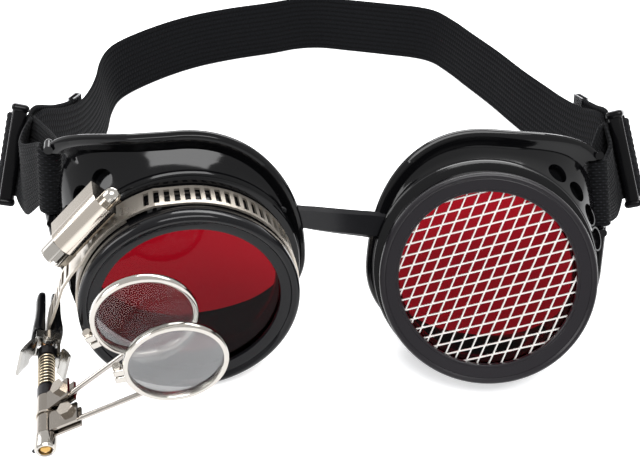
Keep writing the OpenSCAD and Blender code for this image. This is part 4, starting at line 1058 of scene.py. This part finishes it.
# End of the stem

TIP_Z, KNURLS, KNURL_DEEP = 53, 72, 0.05
BRASS_REACH = 0.0025


def stem_end():
    """Knurled barrel with a turned rim, in which the brass rod's end shows."""
    profile = [(1.5, 48.95), (2.3, 48.95), (2.5, 49.15), (2.5, 52.5), (2.4, 52.75), (2.15, 53.15),
               (1.85, 53.2), (1.62, 53.0), (1.6, 52.6), (1.5, 52.4)]
    barrel = turned("barrel", profile, KNURLS)
    for v in barrel.data.vertices:
        r = math.hypot(v.co.x, v.co.y)
        if r > 2.45:
            k = round(math.atan2(v.co.y, v.co.x) / (2 * math.pi) * KNURLS)
            v.co.x *= 1 - KNURL_DEEP * (k % 2) / r
            v.co.y *= 1 - KNURL_DEEP * (k % 2) / r
    settle(barrel, "end_barrel", AT_STEM, "bright", "frame", 40)
    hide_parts("end_nut")
    rod = turned("rod", [(0, 20.4), (1.4, 20.4), (1.4, 52.2), (1.3, 52.6), (1.0, 52.85),
                         (0.5, 53.0), (0, 53.0)], 48, closed=False)
    settle(rod, "rod_turned", AT_STEM, "gunmetal", "frame", 40)
    rod.data.materials.append(MATS["brass"])
    near_tip = TO_METRES @ AT_STEM @ Vector((0, 0, TIP_Z))
    for poly in rod.data.polygons:
        if (poly.center - near_tip).length < BRASS_REACH:
            poly.material_index = 1
    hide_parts("loupe_rod")


stem_end()


# Loupe lenses

LOUPE_R, EAR_TURN = 12.2, 156
# Which one, its swing about the stem, its height on the stem and the reach of its arm
LOUPES = (("rear", 44, 41.4, 37.4), ("front", 26, 47.5, 36))


def at_loupe(swing, height, reach):
    on_stem = AT_STEM @ Matrix.Translation((0, 0, height)) @ turn(swing, "Z")
    return on_stem @ Matrix.Translation((reach, 0, 0))


def loupe_rim(end, swing, height, reach):
    """Slim rim with its two clamping ears, with a small gap between the ears."""
    r0, r1, half = LOUPE_R - 1.25, LOUPE_R - 0.02, 1.0
    lower = [(r0, -half + 0.3), (r0 + 0.1, -half + 0.1), (r0 + 0.3, -half), (r1 - 0.35, -half),
             (r1 - 0.12, -half + 0.1), (r1, -half + 0.35)]
    parts = [turned("rim", lower + [(r, -z) for r, z in reversed(lower)], 112)]
    for y in (-1.13, 1.13):
        parts.append(soft_box("ear", (2.5, 1.86, 2.3), (LOUPE_R + 0.75, y, 0), 0.3,
                              at=turn(EAR_TURN, "Z")))
    rim = joined("rim", parts)
    at = at_loupe(swing, height, reach)
    settle(rim, "loupe_hoop_" + end, at, "bright", "loupe_" + end, 40)
    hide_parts("loupe_rim_" + end)


def loupe_lens(end, swing, height, reach):
    """Shallow lens, thickest in the middle, with a ground edge."""
    edge, middle, radius = 0.5, 0.95, LOUPE_R - 0.75
    face = [(radius * k / 12, edge + (middle - edge) * (1 - (k / 12) ** 2)) for k in range(12)]
    profile = face + [(radius - 0.1, edge), (radius, edge - 0.1)]
    lens = turned("lens", profile + [(r, -z) for r, z in reversed(profile)], 96)
    at = at_loupe(swing, height, reach)
    settle(lens, "loupe_glass_" + end, at, "clear", "loupe_" + end, 50)
    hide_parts("loupe_lens_" + end)


for loupe in LOUPES:
    loupe_rim(*loupe)
    loupe_lens(*loupe)


# Finishes of the pieces that stay as they are

FINISH = {
    "eye_lens_left": "red", "eye_lens_right": "red",
    "lens_gasket_left": "gasket", "lens_gasket_right": "gasket",
    "strap_tip_left": "tip", "strap_tip_right": "tip",
    "clamp_band": "band", "clamp_housing": "nickel", "clamp_screw": "bright",
    "clip_jaw_fixed": "handle", "clip_jaw_moving": "handle", "clip_pin": "bright",
    "rod_ferrule": "gunmetal", "spring_collar": "gunmetal", "stem_washer": "nickel",
    "nut_pin": "gunmetal"}
for end in ("rear", "front"):
    FINISH.update({"bracket_" + end: "bracket", "bracket_screw_" + end: "nickel",
                   "loupe_arm_" + end: "arm", "rim_screw_" + end: "nickel"})
for name, finish in FINISH.items():
    mesh = nodes[name].data
    mesh.materials.clear()
    mesh.materials.append(MATS[finish])

deselect()
